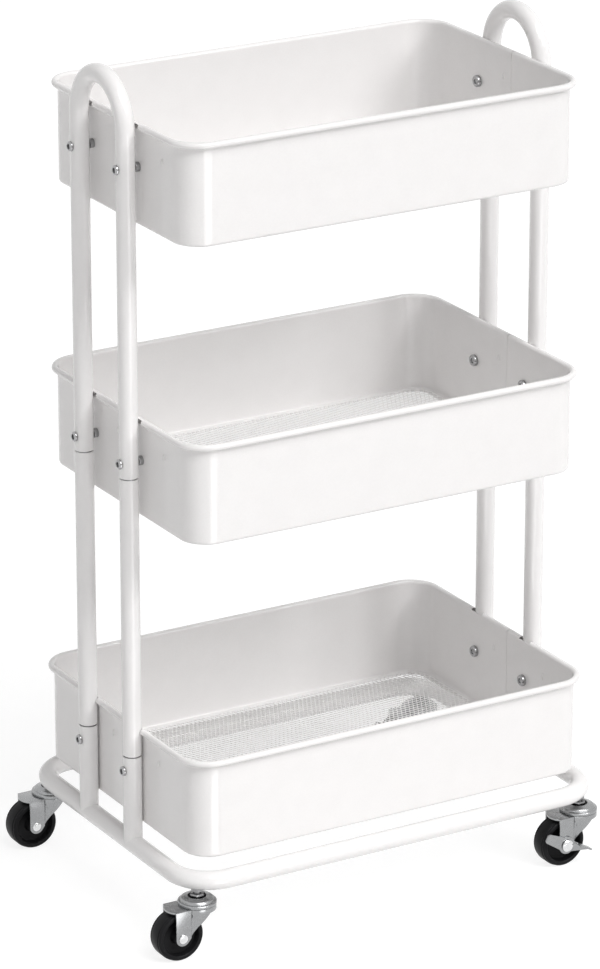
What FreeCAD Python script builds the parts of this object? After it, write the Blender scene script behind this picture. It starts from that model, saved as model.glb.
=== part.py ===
"""Three-tier rolling utility cart: a tube frame, three sheet trays with mesh floors and four casters.

Frame: +Z up, +X along the trays, +Y to the back, the origin on the floor under the middle of the
cart's box. The casters trail towards -X, so the trays' own middle stands a little to +X of it.
"""
import FreeCAD, Part
import math
import os
import Sketcher

# Driving dimensions in millimetres and degrees
DIMENSIONS = (
    ("tube_diameter", 19),
    ("tube_wall", 1.2),
    ("upright_x", 233),
    ("upright_y", 46),
    ("handle_rise", 46),
    ("spigot_length", 32),
    ("spigot_clearance", 0.3),
    ("joint_offset", 16),
    ("ring_depth", 332),
    ("ring_corner_radius", 40),
    ("ring_nut_gap", 2.4),
    ("weld_gap", 0.1),
    ("sheet_gauge", 0.8),
    ("tray_height", 103),
    ("tray_corner_radius", 28),
    ("rim_curl_diameter", 7.4),
    ("rim_curl_gap", 0.3),
    ("rim_notch_clearance", 0.3),
    ("foot_flange", 8),
    ("foot_bend_radius", 2.5),
    ("seam_width", 0.4),
    ("seam_offset", 14),
    ("upper_tray_gap", 5),
    ("bottom_tray_gap", 0.5),
    ("top_tray_depth", 278),
    ("middle_tray_depth", 297),
    ("bottom_tray_depth", 316),
    ("top_rim_height", 817),
    ("middle_rim_height", 522),
    ("bottom_tray_lift", 11.5),
    ("mesh_gauge", 1),
    ("mesh_edge_gap", 0.3),
    ("mesh_hem", 10),
    ("mesh_pitch_x", 22),
    ("mesh_pitch_y", 40),
    ("mesh_strand", 2.2),
    ("bolt_drop", 45),
    ("bolt_diameter", 6),
    ("bolt_hole_clearance", 0.2),
    ("bolt_head_diameter", 10),
    ("bolt_head_height", 3),
    ("bolt_head_gap", 0.1),
    ("bolt_head_chamfer", 0.8),
    ("bolt_socket", 4),
    ("bolt_socket_depth", 1.8),
    ("nut_diameter", 12),
    ("nut_height", 4.2),
    ("nut_bore_depth", 3),
    ("nut_bore_clearance", 0.1),
    ("nut_socket_depth", 0.8),
    ("thread_end_gap", 0.2),
    ("spacer_diameter", 9.5),
    ("spacer_end_gap", 0.1),
    ("wheel_diameter", 50),
    ("wheel_width", 20),
    ("wheel_shoulder", 2.2),
    ("wheel_rim_radius", 20),
    ("wheel_web_width", 7),
    ("wheel_hub_radius", 8),
    ("wheel_hub_gap", 0.4),
    ("wheel_bore_clearance", 0.06),
    ("caster_trail", 23),
    ("wheel_rivet_gap", 0.2),
    ("fork_width", 27.5),
    ("fork_gauge", 1.8),
    ("fork_end_radius", 7.5),
    ("fork_rake", 52),
    ("fork_skirt_height", 5),
    ("fork_flare_height", 19),
    ("fork_tongue_radius", 16),
    ("fork_tongue_reach", 4.5),
    ("kingpin_clearance", 0.3),
    ("rivet_head_radius", 6.5),
    ("rivet_head_height", 1.2),
    ("stem_shoulder_radius", 6.4),
    ("stem_shoulder_height", 1.6),
    ("stem_end_gap", 3.6),
    ("cap_diameter", 38.5),
    ("cap_gap", 0.3),
    ("cap_height", 8),
    ("cap_gauge", 1.6),
    ("cap_dome_radius", 11.5),
    ("cap_recess_radius", 9),
    ("cap_recess_depth", 2.6),
    ("ball_diameter", 2.9),
    ("ball_circle_radius", 13.5),
    ("ball_count", 12),
    ("ball_gap", 0.3),
    ("stem_diameter", 8),
    ("stem_bush_diameter", 12),
    ("stem_bush_clearance", 0.1),
    ("stem_bush_proud", 1.2),
    ("stem_bush_rise", 2.4),
    ("lock_nut_width", 13),
    ("lock_nut_height", 5),
    ("lock_nut_gap", 0.2),
    ("axle_diameter", 6),
    ("axle_head_radius", 4.6),
    ("axle_head_height", 1.6),
    ("axle_head_gap", 0.1),
    ("brake_gauge", 1.8),
    ("brake_gap", 0.3),
    ("brake_disc_radius", 9.2),
    ("brake_bore_clearance", 0.08),
    ("brake_bolt_radius", 6.2),
    ("brake_bolt_height", 3.4),
    ("brake_wing_width", 10),
    ("brake_wing_reach", 27),
    ("brake_wing_bevel", 2),
    ("brake_pedal_start", 12),
    ("brake_pedal_rise", 6),
    ("brake_pedal_depth", 8),
    ("brake_tip_width", 3),
    ("brake_tilt", 28),
)

# Heights that follow from the driving dimensions, from the floor up
DERIVED = (
    ("fork_top", "=wheel_diameter + wheel_rivet_gap + rivet_head_height + kingpin_clearance + fork_gauge"),
    ("cap_skirt_height", "=ball_diameter + ball_gap"),
    ("lock_nut_foot", "=fork_top + cap_gap + cap_height - cap_recess_depth + lock_nut_gap"),
    ("bush_foot", "=lock_nut_foot + lock_nut_height + ring_nut_gap"),
    ("ring_height", "=bush_foot + stem_bush_proud + tube_diameter / 2"),
    ("bottom_rim_height", "=ring_height + tube_diameter / 2 + bottom_tray_lift + tray_height"),
    ("handle_top", "=top_rim_height + handle_rise"),
)

CORNERS = {
    "front_left": (-1, -1),
    "back_left": (-1, 1),
    "front_right": (1, -1),
    "back_right": (1, 1),
}
BRAKED = ("front_right", "back_right")
TRAYS = ("top", "middle", "bottom")
X_AXIS = FreeCAD.Vector(1, 0, 0)
Y_AXIS = FreeCAD.Vector(0, 1, 0)
Z_AXIS = FreeCAD.Vector(0, 0, 1)
ORIGIN = FreeCAD.Vector(0, 0, 0)
SKETCH_START = FreeCAD.Vector(2, 2, 0)
UPRIGHT = FreeCAD.Rotation()
ALONG_X = FreeCAD.Rotation(Y_AXIS, 90)
ALONG_MINUS_X = FreeCAD.Rotation(Y_AXIS, -90)
ALONG_Y = FreeCAD.Rotation(X_AXIS, -90)
ARCH = FreeCAD.Rotation(FreeCAD.Vector(1, 1, 1), 120)

doc = FreeCAD.newDocument("UtilityCart")
sheet = doc.addObject("Spreadsheet::Sheet", "Dims")
for row, (alias, value) in enumerate(DIMENSIONS + DERIVED, start=1):
    sheet.set(f"A{row}", alias)
    sheet.set(f"B{row}", str(value))
    sheet.setAlias(f"B{row}", alias)
doc.recompute()

# Derived places and sizes, as expressions on the sheet
TUBE_R = "Dims.tube_diameter / 2"
BORE_R = "(Dims.tube_diameter / 2 - Dims.tube_wall)"
SPIGOT_R = f"({BORE_R} - Dims.spigot_clearance)"
CORNER_INSET = "Dims.ring_corner_radius * (1 - sqrt(0.5))"
STEM_X = f"(Dims.upright_x - {CORNER_INSET})"
STEM_Y = f"(Dims.ring_depth / 2 - {CORNER_INSET})"
WHEEL_R = "Dims.wheel_diameter / 2"
HEAD_SEAT = f"(Dims.upright_x + {TUBE_R} + Dims.bolt_head_gap)"
LEFT_REACH = f"({STEM_X} + Dims.caster_trail + {WHEEL_R})"
RIGHT_REACH = f"({HEAD_SEAT} + Dims.bolt_head_height)"
MIDDLE_X = f"({LEFT_REACH} - {RIGHT_REACH}) / 2"
ARCH_HEIGHT = f"(Dims.handle_top - {TUBE_R} - Dims.upright_y)"
BOLT_HOLE_R = "Dims.bolt_diameter / 2 + Dims.bolt_hole_clearance"
LOWER_JOINT = "(Dims.bottom_rim_height - Dims.bolt_drop + Dims.joint_offset)"
UPPER_JOINT = "(Dims.middle_rim_height - Dims.bolt_drop - Dims.joint_offset)"
TRAY_GAP = {
    "top": "Dims.upper_tray_gap",
    "middle": "Dims.upper_tray_gap",
    "bottom": "Dims.bottom_tray_gap",
}
CAP_BOTTOM = "(Dims.fork_top + Dims.cap_gap)"
CAP_TOP = f"({CAP_BOTTOM} + Dims.cap_height)"
RECESS_FLOOR = f"({CAP_TOP} - Dims.cap_recess_depth)"
RING_TOP_INSIDE = f"(Dims.ring_height + {BORE_R})"
FORK_INSIDE = "(Dims.fork_width / 2 - Dims.fork_gauge)"
FORK_HOLE_R = "Dims.axle_diameter / 2 + Dims.wheel_bore_clearance"
BRAKE_FACE = "(Dims.fork_width / 2 + Dims.brake_gap)"

nodes = []


def size(alias):
    """A driving dimension as a number, for shapes that are set in code."""
    return float(sheet.get(alias))


def bolt_height(tray):
    return f"(Dims.{tray}_rim_height - Dims.bolt_drop)"


def tray_end(tray):
    """Half the tray's outside length, as an expression."""
    return f"(Dims.upright_x - {TUBE_R} - {TRAY_GAP[tray]})"


def cart_x(expression):
    """A distance from the trays' middle, as a place along X in the cart's frame."""
    return f"{MIDDLE_X} + {expression}"


def bind(obj, **expressions):
    for prop, expression in expressions.items():
        obj.setExpression(prop, expression)
    return obj


def place(obj, x="0", y="0", z="0", rotation=UPRIGHT):
    obj.Placement = FreeCAD.Placement(ORIGIN, rotation)
    for axis, expression in zip("xyz", (x, y, z)):
        obj.setExpression(f"Placement.Base.{axis}", expression)
    return obj


def cylinder(radius, height, x="0", y="0", z="0", rotation=UPRIGHT):
    made = bind(doc.addObject("Part::Cylinder", "cylinder"), Radius=radius, Height=height)
    return place(made, x, y, z, rotation)


def box(length, width, height, x="0", y="0", z="0", rotation=UPRIGHT):
    made = bind(doc.addObject("Part::Box", "box"), Length=length, Width=width, Height=height)
    return place(made, x, y, z, rotation)


def hexagon(across_flats, height, x="0", y="0", z="0", rotation=UPRIGHT):
    made = doc.addObject("Part::Prism", "hexagon")
    made.Polygon = 6
    bind(made, Circumradius=f"{across_flats} / sqrt(3)", Height=height)
    return place(made, x, y, z, rotation)


def torus(centre_radius, tube_radius, angle, x="0", y="0", z="0", rotation=UPRIGHT):
    made = bind(doc.addObject("Part::Torus", "torus"), Radius1=centre_radius, Radius2=tube_radius)
    made.Angle3 = angle
    return place(made, x, y, z, rotation)


def fuse(shapes, name="joined"):
    made = doc.addObject("Part::MultiFuse", name)
    made.Shapes = shapes
    made.Refine = True
    return made


def cut(base, tools, name="cut"):
    made = doc.addObject("Part::Cut", name)
    made.Base = base
    made.Tool = tools[0] if len(tools) == 1 else fuse(tools, "tools")
    return made


def common(base, tool):
    made = doc.addObject("Part::Common", "common")
    made.Base = base
    made.Tool = tool
    return made


def group(pieces):
    made = doc.addObject("Part::Compound", "group")
    made.Links = pieces
    return made


def node(obj, label):
    """Marks a finished sub-part: its label is the name of its file."""
    obj.Label = label
    nodes.append(obj)
    return obj


def outlined(body, plane_role, corners):
    """A closed sketch in a body, with every corner held to a pair of expressions."""
    sketch = body.newObject("Sketcher::SketchObject", "outline")
    plane = next(f for f in body.Origin.OriginFeatures if f.Role == plane_role)
    sketch.AttachmentSupport = [(plane, "")]
    sketch.MapMode = "FlatFace"
    count = len(corners)
    start = []
    for i in range(count):
        angle = 2 * math.pi * i / count
        start.append(SKETCH_START + FreeCAD.Vector(math.cos(angle), math.sin(angle), 0))
    for i in range(count):
        sketch.addGeometry(Part.LineSegment(start[i], start[(i + 1) % count]))
    for i in range(count):
        sketch.addConstraint(Sketcher.Constraint("Coincident", i, 2, (i + 1) % count, 1))
    for i, (across, up) in enumerate(corners):
        number = sketch.addConstraint(Sketcher.Constraint("DistanceX", -1, 1, i, 1, start[i].x))
        sketch.setExpression(f"Constraints[{number}]", across)
        number = sketch.addConstraint(Sketcher.Constraint("DistanceY", -1, 1, i, 1, start[i].y))
        sketch.setExpression(f"Constraints[{number}]", up)
    return sketch


def turned(corners, x="0", y="0", z="0", rotation=UPRIGHT):
    """A body turned about its own Z axis from a closed outline of (radius, height) expressions."""
    body = doc.addObject("PartDesign::Body", "turned")
    sketch = outlined(body, "XZ_Plane", corners)
    revolution = body.newObject("PartDesign::Revolution", "revolution")
    revolution.Profile = sketch
    revolution.ReferenceAxis = (sketch, ["V_Axis"])
    revolution.Angle = 360
    return place(body, x, y, z, rotation)


def padded(corners, height, x="0", y="0", z="0", rotation=UPRIGHT):
    """A body raised along its own Z axis from a closed outline of (x, y) expressions."""
    body = doc.addObject("PartDesign::Body", "padded")
    pad = body.newObject("PartDesign::Pad", "pad")
    pad.Profile = outlined(body, "XY_Plane", corners)
    pad.setExpression("Length", height)
    return place(body, x, y, z, rotation)


def tube_run(length, x, y, z, rotation):
    """A straight length of the frame's tube."""
    outside = cylinder(TUBE_R, length, x, y, z, rotation)
    return cut(outside, [cylinder(BORE_R, length, x, y, z, rotation)])


def tube_bend(bend_radius, angle, x, y, z, rotation):
    """A bend in the frame's tube, from its own X axis."""
    outside = torus(bend_radius, TUBE_R, angle, x, y, z, rotation)
    return cut(outside, [torus(bend_radius, BORE_R, angle, x, y, z, rotation)])


def tube_ring():
    """The base ring's tube: four straight runs and four quarter bends."""
    end_x = "(Dims.upright_x - Dims.ring_corner_radius)"
    end_y = "(Dims.ring_depth / 2 - Dims.ring_corner_radius)"
    height = "Dims.ring_height"
    pieces = []
    for quarter, (sx, sy) in enumerate(((1, 1), (-1, 1), (-1, -1), (1, -1))):
        turn = FreeCAD.Rotation(Z_AXIS, 90 * quarter)
        centre = (cart_x(f"{sx} * {end_x}"), f"{sy} * {end_y}", height)
        pieces.append(tube_bend("Dims.ring_corner_radius", 90, *centre, turn))
    for side in (-1, 1):
        long_start = (cart_x(f"-1 * {end_x}"), f"{side} * Dims.ring_depth / 2", height)
        pieces.append(tube_run(f"2 * {end_x}", *long_start, ALONG_X))
        end_start = (cart_x(f"{side} * Dims.upright_x"), f"-1 * {end_y}", height)
        pieces.append(tube_run(f"2 * {end_y}", *end_start, ALONG_Y))
    return fuse(pieces)


def stem_place(corner):
    sx, sy = CORNERS[corner]
    return cart_x(f"{sx} * {STEM_X}"), f"{sy} * {STEM_Y}"


def upright_place(corner):
    sx, sy = CORNERS[corner]
    return cart_x(f"{sx} * Dims.upright_x"), f"{sy} * Dims.upright_y"


def bolt_hole(corner, tray):
    """The cross hole through an upright for a tray's bolt."""
    x, y = upright_place(corner)
    return cylinder(BOLT_HOLE_R, "Dims.tube_diameter", f"{x} - {TUBE_R}", y, bolt_height(tray), ALONG_X)


def build_base_ring():
    holes = []
    for corner in CORNERS:
        x, y = stem_place(corner)
        radius = "Dims.stem_bush_diameter / 2 + Dims.stem_bush_clearance"
        holes.append(cylinder(radius, TUBE_R, x, y, f"Dims.ring_height - {TUBE_R}"))
    node(cut(tube_ring(), holes), "base_ring")


def build_stub(corner):
    """A short upright coped over the ring's end run and open at the top for the post's spigot."""
    x, y = upright_place(corner)
    height = f"{LOWER_JOINT} - Dims.ring_height"
    outside = cylinder(TUBE_R, height, x, y, "Dims.ring_height")
    inside = cylinder(BORE_R, height, x, y, "Dims.ring_height")
    run_start = (x, f"{y} - Dims.tube_diameter", "Dims.ring_height")
    cope = cylinder(f"{TUBE_R} + Dims.weld_gap", "2 * Dims.tube_diameter", *run_start, ALONG_Y)
    node(cut(outside, [inside, cope, bolt_hole(corner, "bottom")]), f"base_stub_{corner}")


def build_post(corner):
    """A straight tube between the two joints, with a reduced spigot at each end."""
    x, y = upright_place(corner)
    main = cylinder(TUBE_R, f"{UPPER_JOINT} - {LOWER_JOINT}", x, y, LOWER_JOINT)
    length = f"{UPPER_JOINT} - {LOWER_JOINT} + 2 * Dims.spigot_length"
    foot = f"{LOWER_JOINT} - Dims.spigot_length"
    spigots = cylinder(SPIGOT_R, length, x, y, foot)
    bore = cylinder(f"{SPIGOT_R} - Dims.tube_wall", length, x, y, foot)
    holes = [bolt_hole(corner, tray) for tray in ("middle", "bottom")]
    node(cut(fuse([main, spigots]), [bore] + holes), f"post_{corner}")


def hoop_tube(side):
    x = cart_x(f"{side} * Dims.upright_x")
    leg = f"{ARCH_HEIGHT} - {UPPER_JOINT}"
    legs = [tube_run(leg, x, f"{sy} * Dims.upright_y", UPPER_JOINT, UPRIGHT) for sy in (-1, 1)]
    arch = tube_bend("Dims.upright_y", 180, x, "0", ARCH_HEIGHT, ARCH)
    return fuse(legs + [arch])


def build_hoop(side, name):
    """An inverted U whose arch is the handle and whose legs end at the middle joint."""
    corners = [corner for corner, (sx, sy) in CORNERS.items() if sx == side]
    holes = [bolt_hole(corner, tray) for corner in corners for tray in ("top", "middle")]
    node(cut(hoop_tube(side), holes), name)


def sheet_section(rim_height):
    """The tray strip's section, standing one corner radius from the Z axis.

    From the inside: foot flange, wall and a rim rolled outwards until its edge nearly meets the wall.
    """
    gauge = size("sheet_gauge")
    outside = size("tray_corner_radius")
    inside = outside - gauge
    curl = size("rim_curl_diameter") / 2
    bend = size("foot_bend_radius")
    foot = rim_height - size("tray_height")
    curl_x = inside + curl
    curl_z = rim_height - curl
    curl_end = -math.acos((gauge + size("rim_curl_gap")) / curl - 1)
    bend_x = outside - bend
    bend_z = foot + bend

    def point(x, z):
        return FreeCAD.Vector(x, 0, z)

    def polar(x, z, radius, angle):
        return point(x + radius * math.cos(angle), z + radius * math.sin(angle))

    def rolled(radius, angle):
        return polar(curl_x, curl_z, radius, angle)

    def folded(radius, angle):
        return polar(bend_x, bend_z, radius, angle)

    flange_tip = inside - size("foot_flange")
    middle = (math.pi + curl_end) / 2
    corner = -math.pi / 4
    down = -math.pi / 2
    edges = [
        Part.LineSegment(folded(bend - gauge, 0), rolled(curl, math.pi)),
        Part.Arc(rolled(curl, math.pi), rolled(curl, middle), rolled(curl, curl_end)),
        Part.LineSegment(rolled(curl, curl_end), rolled(curl - gauge, curl_end)),
        Part.Arc(rolled(curl - gauge, curl_end), rolled(curl - gauge, middle), rolled(curl - gauge, math.pi)),
        Part.LineSegment(rolled(curl - gauge, math.pi), folded(bend, 0)),
        Part.Arc(folded(bend, 0), folded(bend, corner), folded(bend, down)),
        Part.LineSegment(folded(bend, down), point(flange_tip, foot)),
        Part.LineSegment(point(flange_tip, foot), point(flange_tip, foot + gauge)),
        Part.LineSegment(point(flange_tip, foot + gauge), folded(bend - gauge, down)),
        Part.Arc(folded(bend - gauge, down), folded(bend - gauge, corner), folded(bend - gauge, 0)),
    ]
    return Part.Face(Part.Wire([edge.toShape() for edge in edges]))


def tray_half_sizes(tray):
    """Half the tray's outside length and depth, as numbers."""
    gap = size("bottom_tray_gap") if tray == "bottom" else size("upper_tray_gap")
    half_x = size("upright_x") - size("tube_diameter") / 2 - gap
    return half_x, size(f"{tray}_tray_depth") / 2


def bent_strip(tray):
    """The tray's section carried round a rounded rectangle: four bends and four straight runs."""
    half_x, half_y = tray_half_sizes(tray)
    radius = size("tray_corner_radius")
    section = sheet_section(size(f"{tray}_rim_height"))
    pieces = []
    for quarter, (sx, sy) in enumerate(((1, 1), (-1, 1), (-1, -1), (1, -1))):
        run = 2 * ((half_y if quarter % 2 else half_x) - radius)
        bend = section.revolve(ORIGIN, Z_AXIS, 90)
        straight = section.copy()
        straight.rotate(ORIGIN, Z_AXIS, 90)
        straight = straight.extrude(FreeCAD.Vector(-run, 0, 0))
        for piece in (bend, straight):
            piece.rotate(ORIGIN, Z_AXIS, 90 * quarter)
            piece.translate(FreeCAD.Vector(sx * (half_x - radius), sy * (half_y - radius), 0))
            pieces.append(piece)
    strip = doc.addObject("Part::Feature", "bent_strip")
    strip.Shape = pieces[0].multiFuse(pieces[1:]).removeSplitter()
    return place(strip, MIDDLE_X)


def build_tray_wall(tray):
    """The strip with its rim notched round each upright, bolt holes and the seam in its right end.

    The seam lies a little in front of the end's middle.
    """
    rim = f"Dims.{tray}_rim_height"
    notch_height = "3 * Dims.rim_curl_diameter"
    tools = []
    for corner, (sx, _) in CORNERS.items():
        x, y = upright_place(corner)
        radius = f"{TUBE_R} + Dims.rim_notch_clearance"
        tools.append(cylinder(radius, notch_height, x, y, f"{rim} - 2 * Dims.rim_curl_diameter"))
        hole_start = cart_x(f"{sx} * {tray_end(tray)} - 2 * Dims.sheet_gauge")
        tools.append(cylinder(BOLT_HOLE_R, "4 * Dims.sheet_gauge", hole_start, y, bolt_height(tray), ALONG_X))
    reach = "2 * Dims.foot_flange + 2 * Dims.rim_curl_diameter"
    seam_start = cart_x(f"{tray_end(tray)} - 2 * Dims.foot_flange")
    seam_foot = f"{rim} - Dims.tray_height - Dims.sheet_gauge"
    seam_height = "Dims.tray_height + 2 * Dims.sheet_gauge"
    seam_side = "-Dims.seam_offset - Dims.seam_width / 2"
    tools.append(box(reach, "Dims.seam_width", seam_height, seam_start, seam_side, seam_foot))
    node(cut(bent_strip(tray), tools), f"tray_wall_{tray}")


def rounded_rectangle(half_x, half_y, radius, z):
    corners = []
    diagonal = radius * (1 - math.sqrt(0.5))
    for sx, sy in ((1, 1), (-1, 1), (-1, -1), (1, -1)):
        before = FreeCAD.Vector(sx * half_x, sy * (half_y - radius), z)
        after = FreeCAD.Vector(sx * (half_x - radius), sy * half_y, z)
        middle = FreeCAD.Vector(sx * (half_x - diagonal), sy * (half_y - diagonal), z)
        if sx * sy < 0:
            before, after = after, before
        corners.append((before, middle, after))
    edges = []
    for i, (before, middle, after) in enumerate(corners):
        edges.append(Part.Arc(before, middle, after).toShape())
        edges.append(Part.LineSegment(after, corners[(i + 1) % 4][0]).toShape())
    return Part.Wire(edges)


def diamond(x, y, z, half_x, half_y):
    points = [(x + half_x, y), (x, y - half_y), (x - half_x, y), (x, y + half_y), (x + half_x, y)]
    return Part.makePolygon([FreeCAD.Vector(px, py, z) for px, py in points])


def build_tray_floor(tray):
    """A diamond mesh with a plain hem, lying on the foot flange; an open net, cut as one holed face."""
    half_x, half_y = tray_half_sizes(tray)
    edge = size("foot_bend_radius") + size("mesh_edge_gap")
    half_x -= edge
    half_y -= edge
    hem = size("mesh_hem")
    foot = size(f"{tray}_rim_height") - size("tray_height") + size("sheet_gauge")
    cell_x = size("mesh_pitch_x") / 2
    cell_y = size("mesh_pitch_y") / 2
    opening = 1 - size("mesh_strand") * math.hypot(cell_x, cell_y) / (2 * cell_x * cell_y)
    columns = int((half_x - hem - cell_x * opening) / cell_x)
    rows = int((half_y - hem - cell_y * opening) / cell_y)
    gaps = []
    for column in range(-columns, columns + 1):
        for row_index in range(-rows, rows + 1):
            if (column + row_index) % 2 == 0:
                centre = (column * cell_x, row_index * cell_y)
                gaps.append(diamond(*centre, foot, cell_x * opening, cell_y * opening))
    outline = rounded_rectangle(half_x, half_y, size("tray_corner_radius") - edge, foot)
    net = doc.addObject("Part::Feature", "net")
    net.Shape = Part.Face([outline] + gaps).extrude(Z_AXIS * size("mesh_gauge"))
    node(place(net, MIDDLE_X), f"tray_floor_{tray}")


def facing(sx):
    """The turn that points a fastener's own Z axis from the outside to the inside of an end wall."""
    return ALONG_MINUS_X if sx > 0 else ALONG_X


def build_bolts(tray):
    """Four bolts: a chamfered round head with a hexagon socket outside the upright, and a plain shank."""
    wall_inside = f"({tray_end(tray)} - Dims.sheet_gauge)"
    shank_end = f"({HEAD_SEAT} - {wall_inside} + Dims.nut_bore_depth - Dims.thread_end_gap)"
    head_r = "Dims.bolt_head_diameter / 2"
    shank_r = "Dims.bolt_diameter / 2"
    outline = [
        ("0", "-Dims.bolt_head_height"),
        (f"{head_r} - Dims.bolt_head_chamfer", "-Dims.bolt_head_height"),
        (head_r, "Dims.bolt_head_chamfer - Dims.bolt_head_height"),
        (head_r, "0"),
        (shank_r, "0"),
        (shank_r, shank_end),
        ("0", shank_end),
    ]
    bolts = []
    for sx, sy in CORNERS.values():
        x = cart_x(f"{sx} * {HEAD_SEAT}")
        y = f"{sy} * Dims.upright_y"
        bolt = turned(outline, x, y, bolt_height(tray), facing(sx))
        mouth = (cart_x(f"{sx} * {RIGHT_REACH}"), y, bolt_height(tray))
        socket = hexagon("Dims.bolt_socket", "Dims.bolt_socket_depth", *mouth, facing(sx))
        bolts.append(cut(bolt, [socket]))
    node(group(bolts), f"tray_bolts_{tray}")


def build_nuts(tray):
    """Four round nuts against the inside of the end walls, with a blind bore and a shallow socket."""
    wall_inside = f"({tray_end(tray)} - Dims.sheet_gauge)"
    nut_r = "Dims.nut_diameter / 2"
    bore_r = "Dims.bolt_diameter / 2 + Dims.nut_bore_clearance"
    outline = [
        (bore_r, "0"),
        (nut_r, "0"),
        (nut_r, "Dims.nut_height - Dims.bolt_head_chamfer"),
        (f"{nut_r} - Dims.bolt_head_chamfer", "Dims.nut_height"),
        ("0", "Dims.nut_height"),
        ("0", "Dims.nut_bore_depth"),
        (bore_r, "Dims.nut_bore_depth"),
    ]
    nuts = []
    for sx, sy in CORNERS.values():
        y = f"{sy} * Dims.upright_y"
        nut = turned(outline, cart_x(f"{sx} * {wall_inside}"), y, bolt_height(tray), facing(sx))
        inner_face = f"({wall_inside} - Dims.nut_height + Dims.nut_socket_depth)"
        mouth = (cart_x(f"{sx} * {inner_face}"), y, bolt_height(tray))
        socket = hexagon("Dims.bolt_socket", "Dims.nut_socket_depth", *mouth, facing(sx))
        nuts.append(cut(nut, [socket]))
    node(group(nuts), f"tray_nuts_{tray}")


def build_spacers(tray):
    """Four short sleeves on the bolts, filling the gap between the uprights and the end walls."""
    length = f"{TRAY_GAP[tray]} - Dims.spacer_end_gap"
    spacers = []
    for sx, sy in CORNERS.values():
        start = cart_x(f"{sx} * ({tray_end(tray)} + {length})")
        where = (start, f"{sy} * Dims.upright_y", bolt_height(tray), facing(sx))
        sleeve = cylinder("Dims.spacer_diameter / 2", length, *where)
        bore = cylinder(BOLT_HOLE_R, length, *where)
        spacers.append(cut(sleeve, [bore]))
    node(group(spacers), f"tray_spacers_{tray}")


def build_stem_fittings():
    """Threaded bushes in the ring's corners, and the hexagon lock nuts on the caps."""
    bushes = []
    nuts = []
    thread_r = "Dims.stem_diameter / 2 + Dims.stem_bush_clearance"
    for corner in CORNERS:
        x, y = stem_place(corner)
        height = "Dims.ring_height + Dims.stem_bush_rise - Dims.bush_foot"
        bush = cylinder("Dims.stem_bush_diameter / 2", height, x, y, "Dims.bush_foot")
        bushes.append(cut(bush, [cylinder(thread_r, height, x, y, "Dims.bush_foot")]))
        nut = hexagon("Dims.lock_nut_width", "Dims.lock_nut_height", x, y, "Dims.lock_nut_foot")
        nuts.append(cut(nut, [cylinder(thread_r, "Dims.lock_nut_height", x, y, "Dims.lock_nut_foot")]))
    node(group(bushes), "stem_bushes")
    node(group(nuts), "stem_lock_nuts")


def build_stem(corner):
    """The threaded stem: a rivet head under the fork's top plate and a shoulder that carries the cap."""
    x, y = stem_place(corner)
    head_top = "(Dims.fork_top - Dims.fork_gauge - Dims.kingpin_clearance)"
    head_foot = f"({head_top} - Dims.rivet_head_height)"
    stem_r = "Dims.stem_diameter / 2"
    shoulder_top = f"({RECESS_FLOOR} - Dims.cap_gauge)"
    shoulder_foot = f"({shoulder_top} - Dims.stem_shoulder_height)"
    stem_top = f"{RING_TOP_INSIDE} - Dims.stem_end_gap"
    outline = [
        ("0", head_foot),
        ("Dims.rivet_head_radius", head_foot),
        ("Dims.rivet_head_radius", head_top),
        (stem_r, head_top),
        (stem_r, shoulder_foot),
        ("Dims.stem_shoulder_radius", shoulder_foot),
        ("Dims.stem_shoulder_radius", shoulder_top),
        (stem_r, shoulder_top),
        (stem_r, stem_top),
        ("0", stem_top),
    ]
    node(turned(outline, x, y), f"caster_stem_{corner}")


def build_cap(corner):
    """The fixed upper raceway: a stepped pressing with a sunk middle, clenched on the stem."""
    x, y = stem_place(corner)
    rim_r = "Dims.cap_diameter / 2"
    bore_r = "Dims.stem_diameter / 2 + Dims.stem_bush_clearance"
    step = f"({CAP_BOTTOM} + Dims.cap_skirt_height)"
    outline = [
        (f"{rim_r} - Dims.cap_gauge", CAP_BOTTOM),
        (rim_r, CAP_BOTTOM),
        (rim_r, step),
        (f"{rim_r} - Dims.cap_gauge", f"{step} + Dims.cap_gauge / 2"),
        (f"{rim_r} - 2 * Dims.cap_gauge", f"{step} + Dims.cap_gauge"),
        ("Dims.cap_dome_radius", CAP_TOP),
        ("Dims.cap_recess_radius", CAP_TOP),
        ("Dims.cap_recess_radius", RECESS_FLOOR),
        (bore_r, RECESS_FLOOR),
        (bore_r, f"{RECESS_FLOOR} - Dims.cap_gauge"),
        ("Dims.cap_recess_radius + Dims.cap_gauge", f"{RECESS_FLOOR} - Dims.cap_gauge"),
        (f"{rim_r} - 3 * Dims.cap_gauge", step),
        (f"{rim_r} - Dims.cap_gauge", step),
    ]
    node(turned(outline, x, y), f"caster_cap_{corner}")


def build_balls(corner):
    """The ring of balls between the fork's top plate and the cap."""
    x, y = stem_place(corner)
    count = int(size("ball_count"))
    balls = []
    for i in range(count):
        angle = 360 * i / count
        ball = bind(doc.addObject("Part::Sphere", "ball"), Radius="Dims.ball_diameter / 2")
        ball_x = f"{x} + Dims.ball_circle_radius * cos({angle})"
        ball_y = f"{y} + Dims.ball_circle_radius * sin({angle})"
        balls.append(place(ball, ball_x, ball_y, f"{CAP_BOTTOM} + Dims.ball_diameter / 2"))
    node(group(balls), f"caster_balls_{corner}")


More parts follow.
